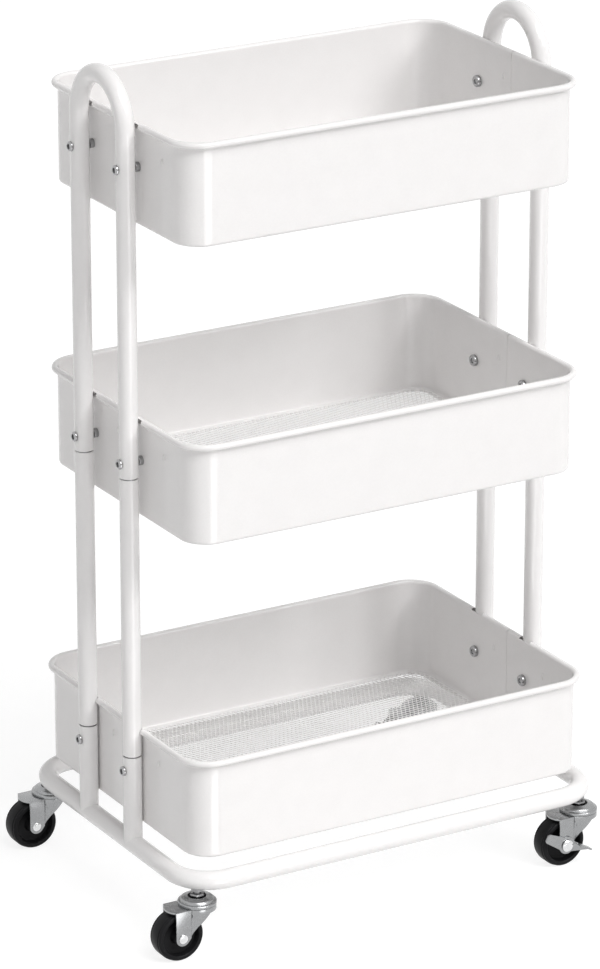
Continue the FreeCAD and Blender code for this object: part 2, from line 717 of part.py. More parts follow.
def fork_profile(x, y):
    """The fork's side view, as a thick slab: round ends at the axle and a raked leading edge."""
    width = "Dims.cap_diameter"
    start_y = f"{y} - {width} / 2"
    end_r = "Dims.fork_end_radius"
    axle_x = f"({x} - Dims.caster_trail)"
    low = f"({WHEEL_R} - {end_r} * cos(Dims.fork_rake))"
    rise = f"Dims.fork_top - {WHEEL_R}"
    trailing = box(f"Dims.caster_trail + {end_r}", width, rise, f"{axle_x} - {end_r}", start_y, WHEEL_R)
    leading_length = f"Dims.caster_trail + {width} / 2"
    leading = box(leading_length, width, f"Dims.fork_top - {low}", axle_x, start_y, low)
    ends = cylinder(end_r, width, axle_x, start_y, WHEEL_R, ALONG_Y)
    reach = "3 * Dims.cap_diameter"
    away_x = f"{axle_x} + ({end_r} + {reach}) * sin(Dims.fork_rake) - {width} * cos(Dims.fork_rake)"
    away_z = f"{low} - {reach} * cos(Dims.fork_rake) - {width} * sin(Dims.fork_rake)"
    raked = box(reach, f"2 * {width}", reach, away_x, f"{y} - {width}", away_z)
    raked.Placement = FreeCAD.Placement(ORIGIN, FreeCAD.Rotation(-Y_AXIS, size("fork_rake")))
    raked.setExpression("Placement.Rotation.Angle", "Dims.fork_rake")
    return cut(fuse([trailing, leading, ends]), [raked])


def fork_plan(x, y, half_width, disc_radius, top):
    """One skin of the fork up to a height: cheeks with a round nose that flare out to a round disc."""
    tail = "(Dims.caster_trail + 2 * Dims.fork_end_radius + Dims.fork_tongue_reach)"
    skirt_foot = "(Dims.fork_top - Dims.fork_skirt_height)"
    cheeks = box(tail, f"2 * {half_width}", top, f"{x} - {tail}", f"{y} - {half_width}")
    nose = cylinder(half_width, top, x, y)
    flare = doc.addObject("Part::Cone", "flare")
    bind(flare, Radius1=half_width, Radius2=disc_radius, Height="Dims.fork_flare_height")
    place(flare, x, y, f"{skirt_foot} - Dims.fork_flare_height")
    disc = cylinder(disc_radius, f"{top} - {skirt_foot}", x, y, skirt_foot)
    return fuse([cheeks, nose, flare, disc])


def build_fork(corner):
    """The stamped fork: raked cheeks under a top plate with a round skirt and a tongue over the wheel."""
    x, y = stem_place(corner)
    axle_x = f"{x} - Dims.caster_trail"
    under = "(Dims.fork_top - Dims.fork_gauge)"
    disc_r = "(Dims.cap_diameter / 2 - Dims.cap_gap)"
    outside = fork_plan(x, y, "(Dims.fork_width / 2)", disc_r, "Dims.fork_top")
    shell = common(fork_profile(x, y), outside)
    skirt = cylinder(disc_r, "Dims.fork_skirt_height", x, y, "Dims.fork_top - Dims.fork_skirt_height")
    inside = fork_plan(x, y, FORK_INSIDE, f"({disc_r} - Dims.fork_gauge)", under)
    tongue_end = f"{axle_x} - Dims.fork_end_radius - Dims.fork_tongue_reach"
    tongue_x = f"{tongue_end} + Dims.fork_tongue_radius"
    disc = cylinder("Dims.fork_tongue_radius", "Dims.fork_gauge", tongue_x, y, under)
    tongue_sides = (tongue_end, f"{y} - Dims.fork_width / 2", under)
    tongue = common(disc, box("Dims.fork_tongue_radius", "Dims.fork_width", "Dims.fork_gauge", *tongue_sides))
    axle_hole_start = (axle_x, f"{y} - Dims.fork_width", WHEEL_R)
    axle_hole = cylinder(FORK_HOLE_R, "2 * Dims.fork_width", *axle_hole_start, ALONG_Y)
    kingpin_r = "Dims.stem_diameter / 2 + Dims.kingpin_clearance"
    kingpin_hole = cylinder(kingpin_r, "2 * Dims.fork_gauge", x, y, "Dims.fork_top - 1.5 * Dims.fork_gauge")
    body = cut(fuse([shell, skirt]), [inside])
    node(cut(fuse([body, tongue]), [axle_hole, kingpin_hole]), f"caster_fork_{corner}")


def build_axle(corner):
    """The axle: a rivet with a head on each cheek, or a bolt with a tall head over a brake lever."""
    x, y = stem_place(corner)
    _, sy = CORNERS[corner]
    braked = corner in BRAKED
    inner_seat = "(Dims.fork_width / 2 + Dims.axle_head_gap)"
    outer_seat = f"({BRAKE_FACE} + Dims.brake_gauge + Dims.axle_head_gap)" if braked else inner_seat
    outer_r = "Dims.brake_bolt_radius" if braked else "Dims.axle_head_radius"
    outer_height = "Dims.brake_bolt_height" if braked else "Dims.axle_head_height"
    shank_r = "Dims.axle_diameter / 2"
    edge = "Dims.axle_head_height / 2"
    outline = [
        ("0", f"-{inner_seat} - Dims.axle_head_height"),
        (f"Dims.axle_head_radius - {edge}", f"-{inner_seat} - Dims.axle_head_height"),
        ("Dims.axle_head_radius", f"-{inner_seat} - {edge}"),
        ("Dims.axle_head_radius", f"-{inner_seat}"),
        (shank_r, f"-{inner_seat}"),
        (shank_r, outer_seat),
        (outer_r, outer_seat),
        (outer_r, f"{outer_seat} + {outer_height} - {edge}"),
        (f"{outer_r} - {edge}", f"{outer_seat} + {outer_height}"),
        ("0", f"{outer_seat} + {outer_height}"),
    ]
    outward = FreeCAD.Rotation(X_AXIS, -90 * sy)
    node(turned(outline, f"{x} - Dims.caster_trail", y, WHEEL_R, outward), f"caster_axle_{corner}")


def build_wheel(corner):
    """A moulded wheel: a tread with bevelled shoulders, a sunk web on each side and a hub."""
    x, y = stem_place(corner)
    half = "Dims.wheel_width / 2"
    web = "Dims.wheel_web_width / 2"
    hub = f"({FORK_INSIDE} - Dims.wheel_hub_gap)"
    draft = "Dims.wheel_shoulder / 2"
    right = [
        (FORK_HOLE_R, hub),
        ("Dims.wheel_hub_radius", hub),
        (f"Dims.wheel_hub_radius + {draft}", web),
        (f"Dims.wheel_rim_radius - {draft}", web),
        ("Dims.wheel_rim_radius", half),
        (f"{WHEEL_R} - Dims.wheel_shoulder", half),
        (f"{WHEEL_R} - {draft} / 2", f"{half} - {draft} / 2"),
        (WHEEL_R, f"{half} - Dims.wheel_shoulder"),
    ]
    left = [(radius, f"-({height})") for radius, height in reversed(right)]
    wheel = turned(right + left, f"{x} - Dims.caster_trail", y, WHEEL_R, ALONG_Y)
    node(wheel, f"caster_wheel_{corner}")


def build_brake_lever(corner):
    """A see-saw plate on the axle bolt: a blunt wing to -X and a pointed one to +X with a pedal."""
    x, y = stem_place(corner)
    _, sy = CORNERS[corner]
    up = -sy
    reach = "Dims.brake_wing_reach"
    half = "(Dims.brake_wing_width / 2)"
    bevel = "Dims.brake_wing_bevel"
    rise = "Dims.brake_pedal_rise"
    waist = "(Dims.brake_disc_radius - Dims.brake_gauge)"
    plate = [
        (f"-{reach}", f"{up} * ({half} - {bevel})"),
        (f"{bevel} - {reach}", f"{up} * {half}"),
        ("0", f"{up} * {waist}"),
        ("Dims.brake_pedal_start", f"{up} * {rise}"),
        (reach, f"{up} * {rise}"),
        (reach, f"{up} * ({rise} - Dims.brake_tip_width)"),
        ("0", f"{-up} * {waist}"),
        (f"{bevel} - {reach}", f"{-up} * {half}"),
        (f"-{reach}", f"{-up} * ({half} - {bevel})"),
    ]
    pedal_foot = f"{rise} - Dims.brake_gauge" if up > 0 else f"-{rise}"
    pedal_place = ("Dims.brake_pedal_start", pedal_foot, BRAKE_FACE)
    pedal_length = f"{reach} - Dims.brake_pedal_start"
    pieces = [
        padded(plate, "Dims.brake_gauge", z=BRAKE_FACE),
        cylinder("Dims.brake_disc_radius", "Dims.brake_gauge", z=BRAKE_FACE),
        box(pedal_length, "Dims.brake_gauge", "Dims.brake_pedal_depth", *pedal_place),
    ]
    bore = cylinder("Dims.axle_diameter / 2 + Dims.brake_bore_clearance", "2 * Dims.fork_width")
    lever = cut(fuse(pieces), [bore])
    outward = FreeCAD.Rotation(X_AXIS, -90 * sy)
    tilt = FreeCAD.Rotation(Y_AXIS, size("brake_tilt"))
    node(place(lever, f"{x} - Dims.caster_trail", y, WHEEL_R, tilt * outward), f"brake_lever_{corner}")


def build_all():
    build_base_ring()
    for corner in CORNERS:
        build_stub(corner)
        build_post(corner)
    build_hoop(-1, "handle_hoop_left")
    build_hoop(1, "handle_hoop_right")
    for tray in TRAYS:
        build_tray_wall(tray)
        build_tray_floor(tray)
        build_bolts(tray)
        build_nuts(tray)
    build_spacers("top")
    build_spacers("middle")
    build_stem_fittings()
    for corner in CORNERS:
        build_stem(corner)
        build_cap(corner)
        build_balls(corner)
        build_fork(corner)
        build_axle(corner)
        build_wheel(corner)
    for corner in BRAKED:
        build_brake_lever(corner)


def check_and_export():
    """Writes one STEP file for each sub-part, after every object and shape has been found sound."""
    doc.recompute()
    failed = [obj.Label for obj in doc.Objects if {"Invalid", "Error"} & set(obj.State)]
    for obj in nodes:
        if obj.Shape.isNull() or not obj.Shape.isValid() or not obj.Shape.Solids:
            failed.append(obj.Label)
    if failed:
        raise RuntimeError("not sound: " + ", ".join(failed))
    os.makedirs("parts", exist_ok=True)
    for obj in nodes:
        obj.Shape.exportStep(f"parts/{obj.Label}.step")
    print(len(nodes), "sub-parts written")


build_all()
check_and_export()
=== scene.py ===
"""The looks of a three-tier rolling utility cart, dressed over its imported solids.

A piece is shaped in millimetres, from the trays' middle. Its place goes into its mesh in metres at the end.
"""
import math

import bmesh
import bpy
from mathutils import Matrix, Vector


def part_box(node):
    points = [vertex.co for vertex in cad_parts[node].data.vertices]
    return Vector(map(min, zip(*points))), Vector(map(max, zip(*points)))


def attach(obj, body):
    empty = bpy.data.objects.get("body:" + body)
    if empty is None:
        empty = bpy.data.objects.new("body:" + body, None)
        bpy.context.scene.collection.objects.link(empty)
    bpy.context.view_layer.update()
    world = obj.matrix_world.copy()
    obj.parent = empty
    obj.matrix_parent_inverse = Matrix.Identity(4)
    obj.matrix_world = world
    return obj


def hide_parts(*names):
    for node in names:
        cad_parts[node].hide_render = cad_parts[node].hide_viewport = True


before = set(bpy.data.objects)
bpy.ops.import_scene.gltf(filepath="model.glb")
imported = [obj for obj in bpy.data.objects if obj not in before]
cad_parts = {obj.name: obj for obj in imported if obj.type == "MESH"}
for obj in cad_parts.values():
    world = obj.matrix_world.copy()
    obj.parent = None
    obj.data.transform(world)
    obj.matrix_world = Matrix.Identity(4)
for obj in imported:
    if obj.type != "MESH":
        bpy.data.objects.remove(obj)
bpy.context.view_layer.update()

MM = 0.001
TO_METRES = Matrix.Scale(MM, 4)
TO_MILLIMETRES = Matrix.Scale(1 / MM, 4)
HALF_TURN = math.pi
QUARTER = math.pi / 2
FULL_TURN = 2 * math.pi
X_AXIS = Vector((1, 0, 0))
Y_AXIS = Vector((0, 1, 0))
Z_AXIS = Vector((0, 0, 1))

# Points nearer than MERGE become one, and HAIR keeps a round piece inside its solid's box
MERGE = 0.002
HAIR = 0.01
SHARP = math.radians(32)

# Stock that the cart is made from, in millimetres
TUBE_DIAMETER = 19
TUBE_WALL = 1.2
TUBE_SIDES = 48
TUBE_LIP = 0.4
JOINT_SLOT = 1.4
RING_BEND = 40
BEND_STEPS = 18
ARCH_STEPS = 48
SHEET = 0.8
TRAY_CORNER = 28
RIM_CURL = 7.4
RIM_ROLL_STEPS = 22
RIM_ROLL = math.radians(314.6)
FOOT_FLANGE = 8
FOOT_BEND = 2.5
FOOT_BEND_STEPS = 5
RIM_NOTCH_CLEARANCE = 0.3
SEAM_OFFSET = 14
SEAM_WIDTH = 1.0
SEAM_LAP = 12
MESH_HEM = 1.5
MESH_PITCH_X = 5
MESH_PITCH_Y = 9.5
MESH_STRAND = 0.62
MESH_CORNER = 25.2
MESH_CORNER_CUTS = 6
WHOLE_CELL = 0.98
PIP_SEGMENTS = 16
PIP_RINGS = 8
PIP_HALF_SIZES = (1.8, 1.0, 4.0)
PIP_DROP = 28.5
PIP_OFFSET = {"top": 47, "middle": 45, "bottom": 36}
SPIGOT_LENGTH = 32
SPIGOT_GAP = 0.3
BARE_LENGTH = 6
BARE_SKIN = 0.15
HOLD = 1.0

CORNERS = {
    "front_left": (-1, -1),
    "back_left": (-1, 1),
    "front_right": (1, -1),
    "back_right": (1, 1),
}
BRAKED = ("front_right", "back_right")
TRAYS = ("top", "middle", "bottom")


def box_mm(node):
    """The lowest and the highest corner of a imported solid, in millimetres."""
    low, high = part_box(node)
    return low / MM, high / MM


ring_low, ring_high = box_mm("base_ring")
MIDDLE = Matrix.Translation(((ring_low.x + ring_high.x) / 2, 0, 0))
TUBE_R = TUBE_DIAMETER / 2
BORE_R = TUBE_R - TUBE_WALL
UPRIGHT_X = (ring_high.x - ring_low.x) / 2 - TUBE_R
RING_Z = (ring_high.z + ring_low.z) / 2
post_low, post_high = box_mm("post_back_right")
UPRIGHT_Y = (post_high.y + post_low.y) / 2
LOWER_JOINT = post_low.z + SPIGOT_LENGTH
UPPER_JOINT = post_high.z - SPIGOT_LENGTH


# Shaping helpers

def edges_of(geometry):
    return [item for item in geometry if isinstance(item, bmesh.types.BMEdge)]


def verts_of(geometry):
    return [item for item in geometry if isinstance(item, bmesh.types.BMVert)]


def ends_of(edges):
    return list(dict.fromkeys(vert for edge in edges for vert in edge.verts))


def pull(bm, edges, offset):
    """Draws edges out along an offset and returns the edges at the far end."""
    grown = bmesh.ops.extrude_edge_only(bm, edges=edges)["geom"]
    far = verts_of(grown)
    bmesh.ops.translate(bm, verts=far, vec=offset)
    fresh = set(far)
    return [edge for edge in edges_of(grown) if fresh.issuperset(edge.verts)]


def run_straight(bm, edges, offset):
    """Draws edges along a straight run, with a short step at each end that keeps its shading flat."""
    run = Vector(offset)
    step = HOLD * run.normalized()
    for part in (step, run - 2 * step, step):
        edges = pull(bm, edges, part)
    return edges


def turn(bm, edges, centre, axis, angle, steps):
    """Carries edges round a bend and returns the edges at its end."""
    swept = bmesh.ops.spin(
        bm, geom=ends_of(edges) + edges, cent=centre, axis=axis, angle=angle, steps=steps
    )
    return edges_of(swept["geom_last"])


def draw(bm, vert, offset):
    """Draws one point out to a straight edge and returns the point at its end."""
    end = bmesh.ops.extrude_vert_indiv(bm, verts=[vert])["verts"][0]
    bmesh.ops.translate(bm, verts=[end], vec=offset)
    return end


def swing(bm, vert, centre, angle, steps):
    """Carries one point round an arc about Y and returns the point at its end."""
    swept = bmesh.ops.spin(bm, geom=[vert], cent=centre, axis=Y_AXIS, angle=angle, steps=steps)
    return verts_of(swept["geom_last"])[0]


def close_up(bm):
    """Merges doubled points and turns the faces outwards."""
    bmesh.ops.remove_doubles(bm, verts=bm.verts, dist=MERGE)
    bmesh.ops.recalc_face_normals(bm, faces=bm.faces)


def lathe(bm, outline, sides):
    """Turns an outline of (radius, height) points about Z."""
    points = [bm.verts.new((radius, 0, height)) for radius, height in outline]
    lines = [bm.edges.new(pair) for pair in zip(points, points[1:])]
    bmesh.ops.spin(
        bm, geom=points + lines, cent=(0, 0, 0), axis=Z_AXIS, angle=FULL_TURN, steps=sides, use_merge=True
    )
    close_up(bm)


def ease(bm, width, segments=3, least=SHARP):
    """Rounds every edge that is sharper than an angle."""
    sharp = [edge for edge in bm.edges if edge.is_manifold and edge.calc_face_angle() > least]
    bmesh.ops.bevel(
        bm, geom=sharp, offset=width, segments=segments, profile=0.5, affect="EDGES",
        clamp_overlap=True, material=-1,
    )


def circle(bm, radius, sides, place):
    """A circle's edges, as the start of a run."""
    made = bmesh.ops.create_circle(bm, segments=sides, radius=radius, matrix=place)
    return list(dict.fromkeys(edge for vert in made["verts"] for edge in vert.link_edges))


def cut(bm, point, normal, clear_inner=False, clear_outer=False):
    """Cuts all of a shape along a plane, and may clear one side of it."""
    everything = bm.verts[:] + bm.edges[:] + bm.faces[:]
    bmesh.ops.bisect_plane(
        bm, geom=everything, plane_co=point, plane_no=normal, clear_inner=clear_inner, clear_outer=clear_outer
    )


def carry_round(bm, edges, half_x, half_y, bend, start_y, end_y):
    """Carries a section, standing on the +X side, counter-clockwise round a rounded rectangle."""
    run_x = half_x - bend
    run_y = half_y - bend
    edges = run_straight(bm, edges, (0, run_y - start_y, 0))
    legs = (
        ((run_x, run_y, 0), (-2 * run_x, 0, 0)),
        ((-run_x, run_y, 0), (0, -2 * run_y, 0)),
        ((-run_x, -run_y, 0), (2 * run_x, 0, 0)),
        ((run_x, -run_y, 0), (0, run_y + end_y, 0)),
    )
    for centre, run in legs:
        edges = turn(bm, edges, centre, Z_AXIS, QUARTER, BEND_STEPS)
        edges = run_straight(bm, edges, run)
    return edges


def repeated(source, places):
    """One shape set down at several places, as a single bmesh."""
    pattern = bpy.data.meshes.new("pattern")
    source.to_mesh(pattern)
    source.free()
    bm = bmesh.new()
    for place in places:
        copy = pattern.copy()
        copy.transform(place)
        bm.from_mesh(copy)
        bpy.data.meshes.remove(copy)
    bpy.data.meshes.remove(pattern)
    return bm


def set_down(bm, name, finish, body, nodes, place=MIDDLE):
    """Makes a shape a piece of the cart: its finish, the body that carries it and the solids it replaces."""
    bmesh.ops.transform(bm, matrix=TO_METRES @ place, verts=bm.verts)
    for face in bm.faces:
        face.smooth = True
    for edge in bm.edges:
        edge.smooth = not edge.is_manifold or edge.calc_face_angle() < SHARP
    mesh = bpy.data.meshes.new(name)
    bm.to_mesh(mesh)
    bm.free()
    mesh.materials.append(finish["look"])
    piece = bpy.data.objects.new(name, mesh)
    bpy.context.scene.collection.objects.link(piece)
    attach(piece, body)
    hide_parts(*nodes)


# Finishes

GRAIN_DETAIL = 2.5
CLOUD_DETAIL = 3
CLOUD_SHARE = 0.45
MASK_LOW = 0.3
MASK_HIGH = 0.7
RELIEF_DEPTH = 0.2

# Places of the Mix node's sockets, whose names repeat
MIX_FACTOR = 0
MIX_VALUES = (2, 3)
MIX_VALUE_RESULT = 0
MIX_COLOURS = (6, 7)
MIX_COLOUR_RESULT = 2


def fine_grain_group():
    """A mottle and a height at two scales, for paint, plating and moulded plastic."""
    group = bpy.data.node_groups.new("fine_grain", "ShaderNodeTree")
    sockets = group.interface
    sockets.new_socket("Place", in_out="INPUT", socket_type="NodeSocketVector")
    sockets.new_socket("Grain Scale", in_out="INPUT", socket_type="NodeSocketFloat")
    sockets.new_socket("Cloud Scale", in_out="INPUT", socket_type="NodeSocketFloat")
    sockets.new_socket("Mottle", in_out="OUTPUT", socket_type="NodeSocketFloat")
    sockets.new_socket("Height", in_out="OUTPUT", socket_type="NodeSocketFloat")
    entry = group.nodes.new("NodeGroupInput")
    exit_node = group.nodes.new("NodeGroupOutput")
    grain = group.nodes.new("ShaderNodeTexNoise")
    grain.inputs["Detail"].default_value = GRAIN_DETAIL
    cloud = group.nodes.new("ShaderNodeTexNoise")
    cloud.inputs["Detail"].default_value = CLOUD_DETAIL
    blend = group.nodes.new("ShaderNodeMix")
    blend.inputs[MIX_FACTOR].default_value = CLOUD_SHARE
    link = group.links.new
    link(entry.outputs["Place"], grain.inputs["Vector"])
    link(entry.outputs["Grain Scale"], grain.inputs["Scale"])
    link(entry.outputs["Place"], cloud.inputs["Vector"])
    link(entry.outputs["Cloud Scale"], cloud.inputs["Scale"])
    link(grain.outputs["Fac"], blend.inputs[MIX_VALUES[0]])
    link(cloud.outputs["Fac"], blend.inputs[MIX_VALUES[1]])
    link(blend.outputs[MIX_VALUE_RESULT], exit_node.inputs["Mottle"])
    link(grain.outputs["Fac"], exit_node.inputs["Height"])
    return group


FINE_GRAIN = fine_grain_group()


def ranged(tree, source, low, high):
    """A value that follows a mask between two limits."""
    fitted = tree.nodes.new("ShaderNodeMapRange")
    fitted.inputs["From Min"].default_value = MASK_LOW
    fitted.inputs["From Max"].default_value = MASK_HIGH
    fitted.inputs["To Min"].default_value = low
    fitted.inputs["To Max"].default_value = high
    tree.links.new(source, fitted.inputs["Value"])
    return fitted.outputs["Result"]


def grained_finish(
    slot, dark, light, roughness, grain_scale, cloud_scale, bump, metallic=0.0, gleam=0.5, shade=""
):
    """A finish whose colour, gloss and surface vary with the fine grain."""
    look = bpy.data.materials.new(slot + shade)
    look.use_nodes = True
    tree = look.node_tree
    shader = tree.nodes["Principled BSDF"]
    shader.inputs["Metallic"].default_value = metallic
    shader.inputs["Specular IOR Level"].default_value = gleam
    place = tree.nodes.new("ShaderNodeTexCoord")
    grain = tree.nodes.new("ShaderNodeGroup")
    grain.node_tree = FINE_GRAIN
    grain.inputs["Grain Scale"].default_value = grain_scale
    grain.inputs["Cloud Scale"].default_value = cloud_scale
    colour = tree.nodes.new("ShaderNodeMix")
    colour.data_type = "RGBA"
    colour.inputs[MIX_COLOURS[0]].default_value = (*dark, 1)
    colour.inputs[MIX_COLOURS[1]].default_value = (*light, 1)
    relief = tree.nodes.new("ShaderNodeBump")
    relief.inputs["Strength"].default_value = bump
    relief.inputs["Distance"].default_value = RELIEF_DEPTH * MM
    link = tree.links.new
    link(place.outputs["Object"], grain.inputs["Place"])
    link(ranged(tree, grain.outputs["Mottle"], 0, 1), colour.inputs[MIX_FACTOR])
    link(colour.outputs[MIX_COLOUR_RESULT], shader.inputs["Base Color"])
    link(ranged(tree, grain.outputs["Mottle"], *roughness), shader.inputs["Roughness"])
    link(grain.outputs["Height"], relief.inputs["Height"])
    link(relief.outputs["Normal"], shader.inputs["Normal"])
    return {"look": look, "slot": slot}


FRAME_COAT = grained_finish(
    "frame_coat", dark=(0.91, 0.895, 0.89), light=(0.94, 0.925, 0.92), roughness=(0.08, 0.14),
    grain_scale=700, cloud_scale=60, bump=0.04,
)
TRAY_COAT = grained_finish(
    "tray_coat", dark=(0.895, 0.878, 0.872), light=(0.93, 0.913, 0.907), roughness=(0.08, 0.15),
    grain_scale=620, cloud_scale=45, bump=0.05,
)
MESH_COAT = grained_finish(
    "mesh_coat", dark=(0.9, 0.89, 0.885), light=(0.94, 0.93, 0.925), roughness=(0.36, 0.46),
    grain_scale=900, cloud_scale=80, bump=0.1,
)
FASTENER_STEEL = grained_finish(
    "fastener_steel", dark=(0.66, 0.665, 0.67), light=(0.82, 0.825, 0.83), roughness=(0.1, 0.2),
    grain_scale=900, cloud_scale=220, bump=0.06, metallic=1.0,
)
# A darker copy of the fastener steel: painted shade for the stems, bushes and lock nuts under the ring, and
# for the spigots in the tube joints
PAINTED_SHADE_STEEL = grained_finish(
    "fastener_steel", dark=(0.2, 0.2, 0.205), light=(0.34, 0.34, 0.345), roughness=(0.12, 0.22),
    grain_scale=900, cloud_scale=220, bump=0.06, metallic=1.0, shade="_painted_shade",
)
BOLT_NICKEL = grained_finish(
    "bolt_nickel", dark=(0.3, 0.3, 0.305), light=(0.44, 0.44, 0.445), roughness=(0.06, 0.14),
    grain_scale=900, cloud_scale=220, bump=0.06, metallic=1.0,
)
ZINC_PLATE = grained_finish(
    "zinc_plate", dark=(0.315, 0.32, 0.325), light=(0.36, 0.365, 0.37), roughness=(0.22, 0.3),
    grain_scale=1100, cloud_scale=120, bump=0.05, metallic=1.0,
)
WHEEL_BLACK = grained_finish(
    "wheel_black", dark=(0.008, 0.008, 0.009), light=(0.013, 0.013, 0.014), roughness=(0.34, 0.46),
    grain_scale=1400, cloud_scale=120, bump=0.2, gleam=0.1,
)


# Tube frame

def tube_walls(bm, place):
    """The tube's outer and inner circle, as the start of a run."""
    return circle(bm, TUBE_R, TUBE_SIDES, place) + circle(bm, BORE_R, TUBE_SIDES, place)


def dress_base_ring():
    """One tube bent to a rounded rectangle that closes on itself."""
    bm = bmesh.new()
    half_y = (ring_high.y - ring_low.y) / 2 - TUBE_R
    place = Matrix.Translation((UPRIGHT_X, 0, RING_Z)) @ Matrix.Rotation(QUARTER, 4, "X")
    edges = circle(bm, TUBE_R, TUBE_SIDES, place)
    carry_round(bm, edges, UPRIGHT_X, half_y, RING_BEND, 0, 0)
    close_up(bm)
    set_down(bm, "ring_tube", FRAME_COAT, "frame", ["base_ring"])


def dress_stub(corner):
    """A short upright, mitred over the ring's end run and open at the top."""
    sx, sy = CORNERS[corner]
    x = sx * UPRIGHT_X
    y = sy * UPRIGHT_Y
    bm = bmesh.new()
    end_z = LOWER_JOINT - JOINT_SLOT
    top = tube_walls(bm, Matrix.Translation((x, y, end_z)))
    run_straight(bm, top, (0, 0, RING_Z - TUBE_R - end_z))
    for slope in (-1, 1):
        cut(bm, (x, y, RING_Z), Vector((0, slope, 1)), clear_inner=True)
    mouth = [edge for edge in bm.edges if edge.is_boundary and edge.verts[0].co.z < end_z - MERGE]
    lip = [edge for edge in bm.edges if edge.is_boundary and edge.verts[0].co.z > end_z - MERGE]
    bmesh.ops.bridge_loops(bm, edges=mouth)
    bmesh.ops.bridge_loops(bm, edges=lip)
    close_up(bm)
    round_tube_lip(bm, end_z)
    set_down(bm, f"stub_tube_{corner}", FRAME_COAT, "frame", [f"base_stub_{corner}"])


def round_tube_lip(bm, height):
    """Rounds a tube's cut end, so that a joint reads as a thin groove."""
    lip = [
        edge for edge in bm.edges
        if abs(edge.verts[0].co.z - height) < MERGE and abs(edge.verts[1].co.z - height) < MERGE
        and edge.calc_face_angle() > SHARP
    ]
    bmesh.ops.bevel(
        bm, geom=lip, offset=TUBE_LIP, segments=2, profile=0.5, affect="EDGES",
        clamp_overlap=True, material=-1,
    )


def dress_post(corner):
    """A straight tube with a reduced spigot at each end."""
    sx, sy = CORNERS[corner]
    spigot_r = BORE_R - SPIGOT_GAP
    inside_r = spigot_r - TUBE_WALL
    outline = (
        (inside_r, post_low.z),
        (spigot_r, post_low.z),
        (spigot_r, LOWER_JOINT),
        (TUBE_R - TUBE_LIP, LOWER_JOINT),
        (TUBE_R, LOWER_JOINT + TUBE_LIP),
        (TUBE_R, UPPER_JOINT - TUBE_LIP),
        (TUBE_R - TUBE_LIP, UPPER_JOINT),
        (spigot_r, UPPER_JOINT),
        (spigot_r, post_high.z),
        (inside_r, post_high.z),
        (inside_r, post_low.z),
    )
    bm = bmesh.new()
    lathe(bm, outline, TUBE_SIDES)
    place = MIDDLE @ Matrix.Translation((sx * UPRIGHT_X, sy * UPRIGHT_Y, 0))
    set_down(bm, f"post_tube_{corner}", FRAME_COAT, "frame", [f"post_{corner}"], place)


def dress_spigots(corner):
    """Bare steel on the post's spigots, darkened with painted shade so that it shows as a dark line in the
    tube joints.
    """
    sx, sy = CORNERS[corner]
    inside_r = BORE_R - SPIGOT_GAP
    bm = bmesh.new()
    for low_z in (LOWER_JOINT - BARE_LENGTH, UPPER_JOINT):
        high_z = low_z + BARE_LENGTH
        outline = (
            (inside_r, low_z),
            (inside_r + BARE_SKIN, low_z),
            (inside_r + BARE_SKIN, high_z),
            (inside_r, high_z),
            (inside_r, low_z),
        )
        lathe(bm, outline, TUBE_SIDES)
    place = MIDDLE @ Matrix.Translation((sx * UPRIGHT_X, sy * UPRIGHT_Y, 0))
    set_down(bm, f"spigot_skins_{corner}", PAINTED_SHADE_STEEL, "frame", [], place)


def dress_hoop(side, node):
    """An inverted U whose arch is the handle."""
    arch_z = box_mm(node)[1].z - TUBE_R - UPRIGHT_Y - HAIR
    end_z = UPPER_JOINT + JOINT_SLOT
    x = side * UPRIGHT_X
    bm = bmesh.new()
    start = tube_walls(bm, Matrix.Translation((x, -UPRIGHT_Y, end_z)))
    edges = run_straight(bm, start, (0, 0, arch_z - end_z))
    edges = turn(bm, edges, (x, 0, arch_z), X_AXIS, -HALF_TURN, ARCH_STEPS)
    end = run_straight(bm, edges, (0, 0, end_z - arch_z))
    bmesh.ops.bridge_loops(bm, edges=start)
    bmesh.ops.bridge_loops(bm, edges=end)
    close_up(bm)
    round_tube_lip(bm, end_z)
    set_down(bm, f"{node}_tube", FRAME_COAT, "frame", [node])


# Trays

def tray_sizes(tray):
    """Half the length and depth of a tray's wall at mid-gauge, and its foot and rim heights."""
    low, high = box_mm(f"tray_wall_{tray}")
    proud = RIM_CURL - SHEET / 2
    return (high.x - low.x) / 2 - proud, (high.y - low.y) / 2 - proud, low.z, high.z


def sheet_section(bm, x, y, foot, rim):
    """The strip's section at mid-gauge: foot flange, fold, wall and a rim rolled outwards."""
    bend = FOOT_BEND - SHEET / 2
    roll = (RIM_CURL - SHEET) / 2
    foot_z = foot + SHEET / 2
    tip = bm.verts.new((x - FOOT_FLANGE - SHEET / 2, y, foot_z))
    vert = draw(bm, tip, (FOOT_FLANGE + SHEET / 2 - bend, 0, 0))
    vert = swing(bm, vert, (x - bend, y, foot_z + bend), -QUARTER, FOOT_BEND_STEPS)
    curl_z = rim - RIM_CURL / 2
    for rise in (HOLD, curl_z - foot_z - bend - 2 * HOLD, HOLD):
        vert = draw(bm, vert, (0, 0, rise))
    swing(bm, vert, (x + roll, y, curl_z), RIM_ROLL, RIM_ROLL_STEPS)
    bmesh.ops.remove_doubles(bm, verts=bm.verts, dist=MERGE)
    return bm.edges[:]


def notch_rim(bm):
    """Opens the rolled rim where the uprights stand against it."""
    clear = TUBE_R + RIM_NOTCH_CLEARANCE
    for sy in (-1, 1):
        for edge in (-clear, clear):
            cut(bm, (0, sy * UPRIGHT_Y + edge, 0), Y_AXIS)
    notched = []
    for face in bm.faces:
        middle = face.calc_center_median()
        beside = abs(abs(middle.y) - UPRIGHT_Y) < clear
        if beside and abs(middle.x) > UPRIGHT_X - clear:
            notched.append(face)
    bmesh.ops.delete(bm, geom=notched, context="FACES")


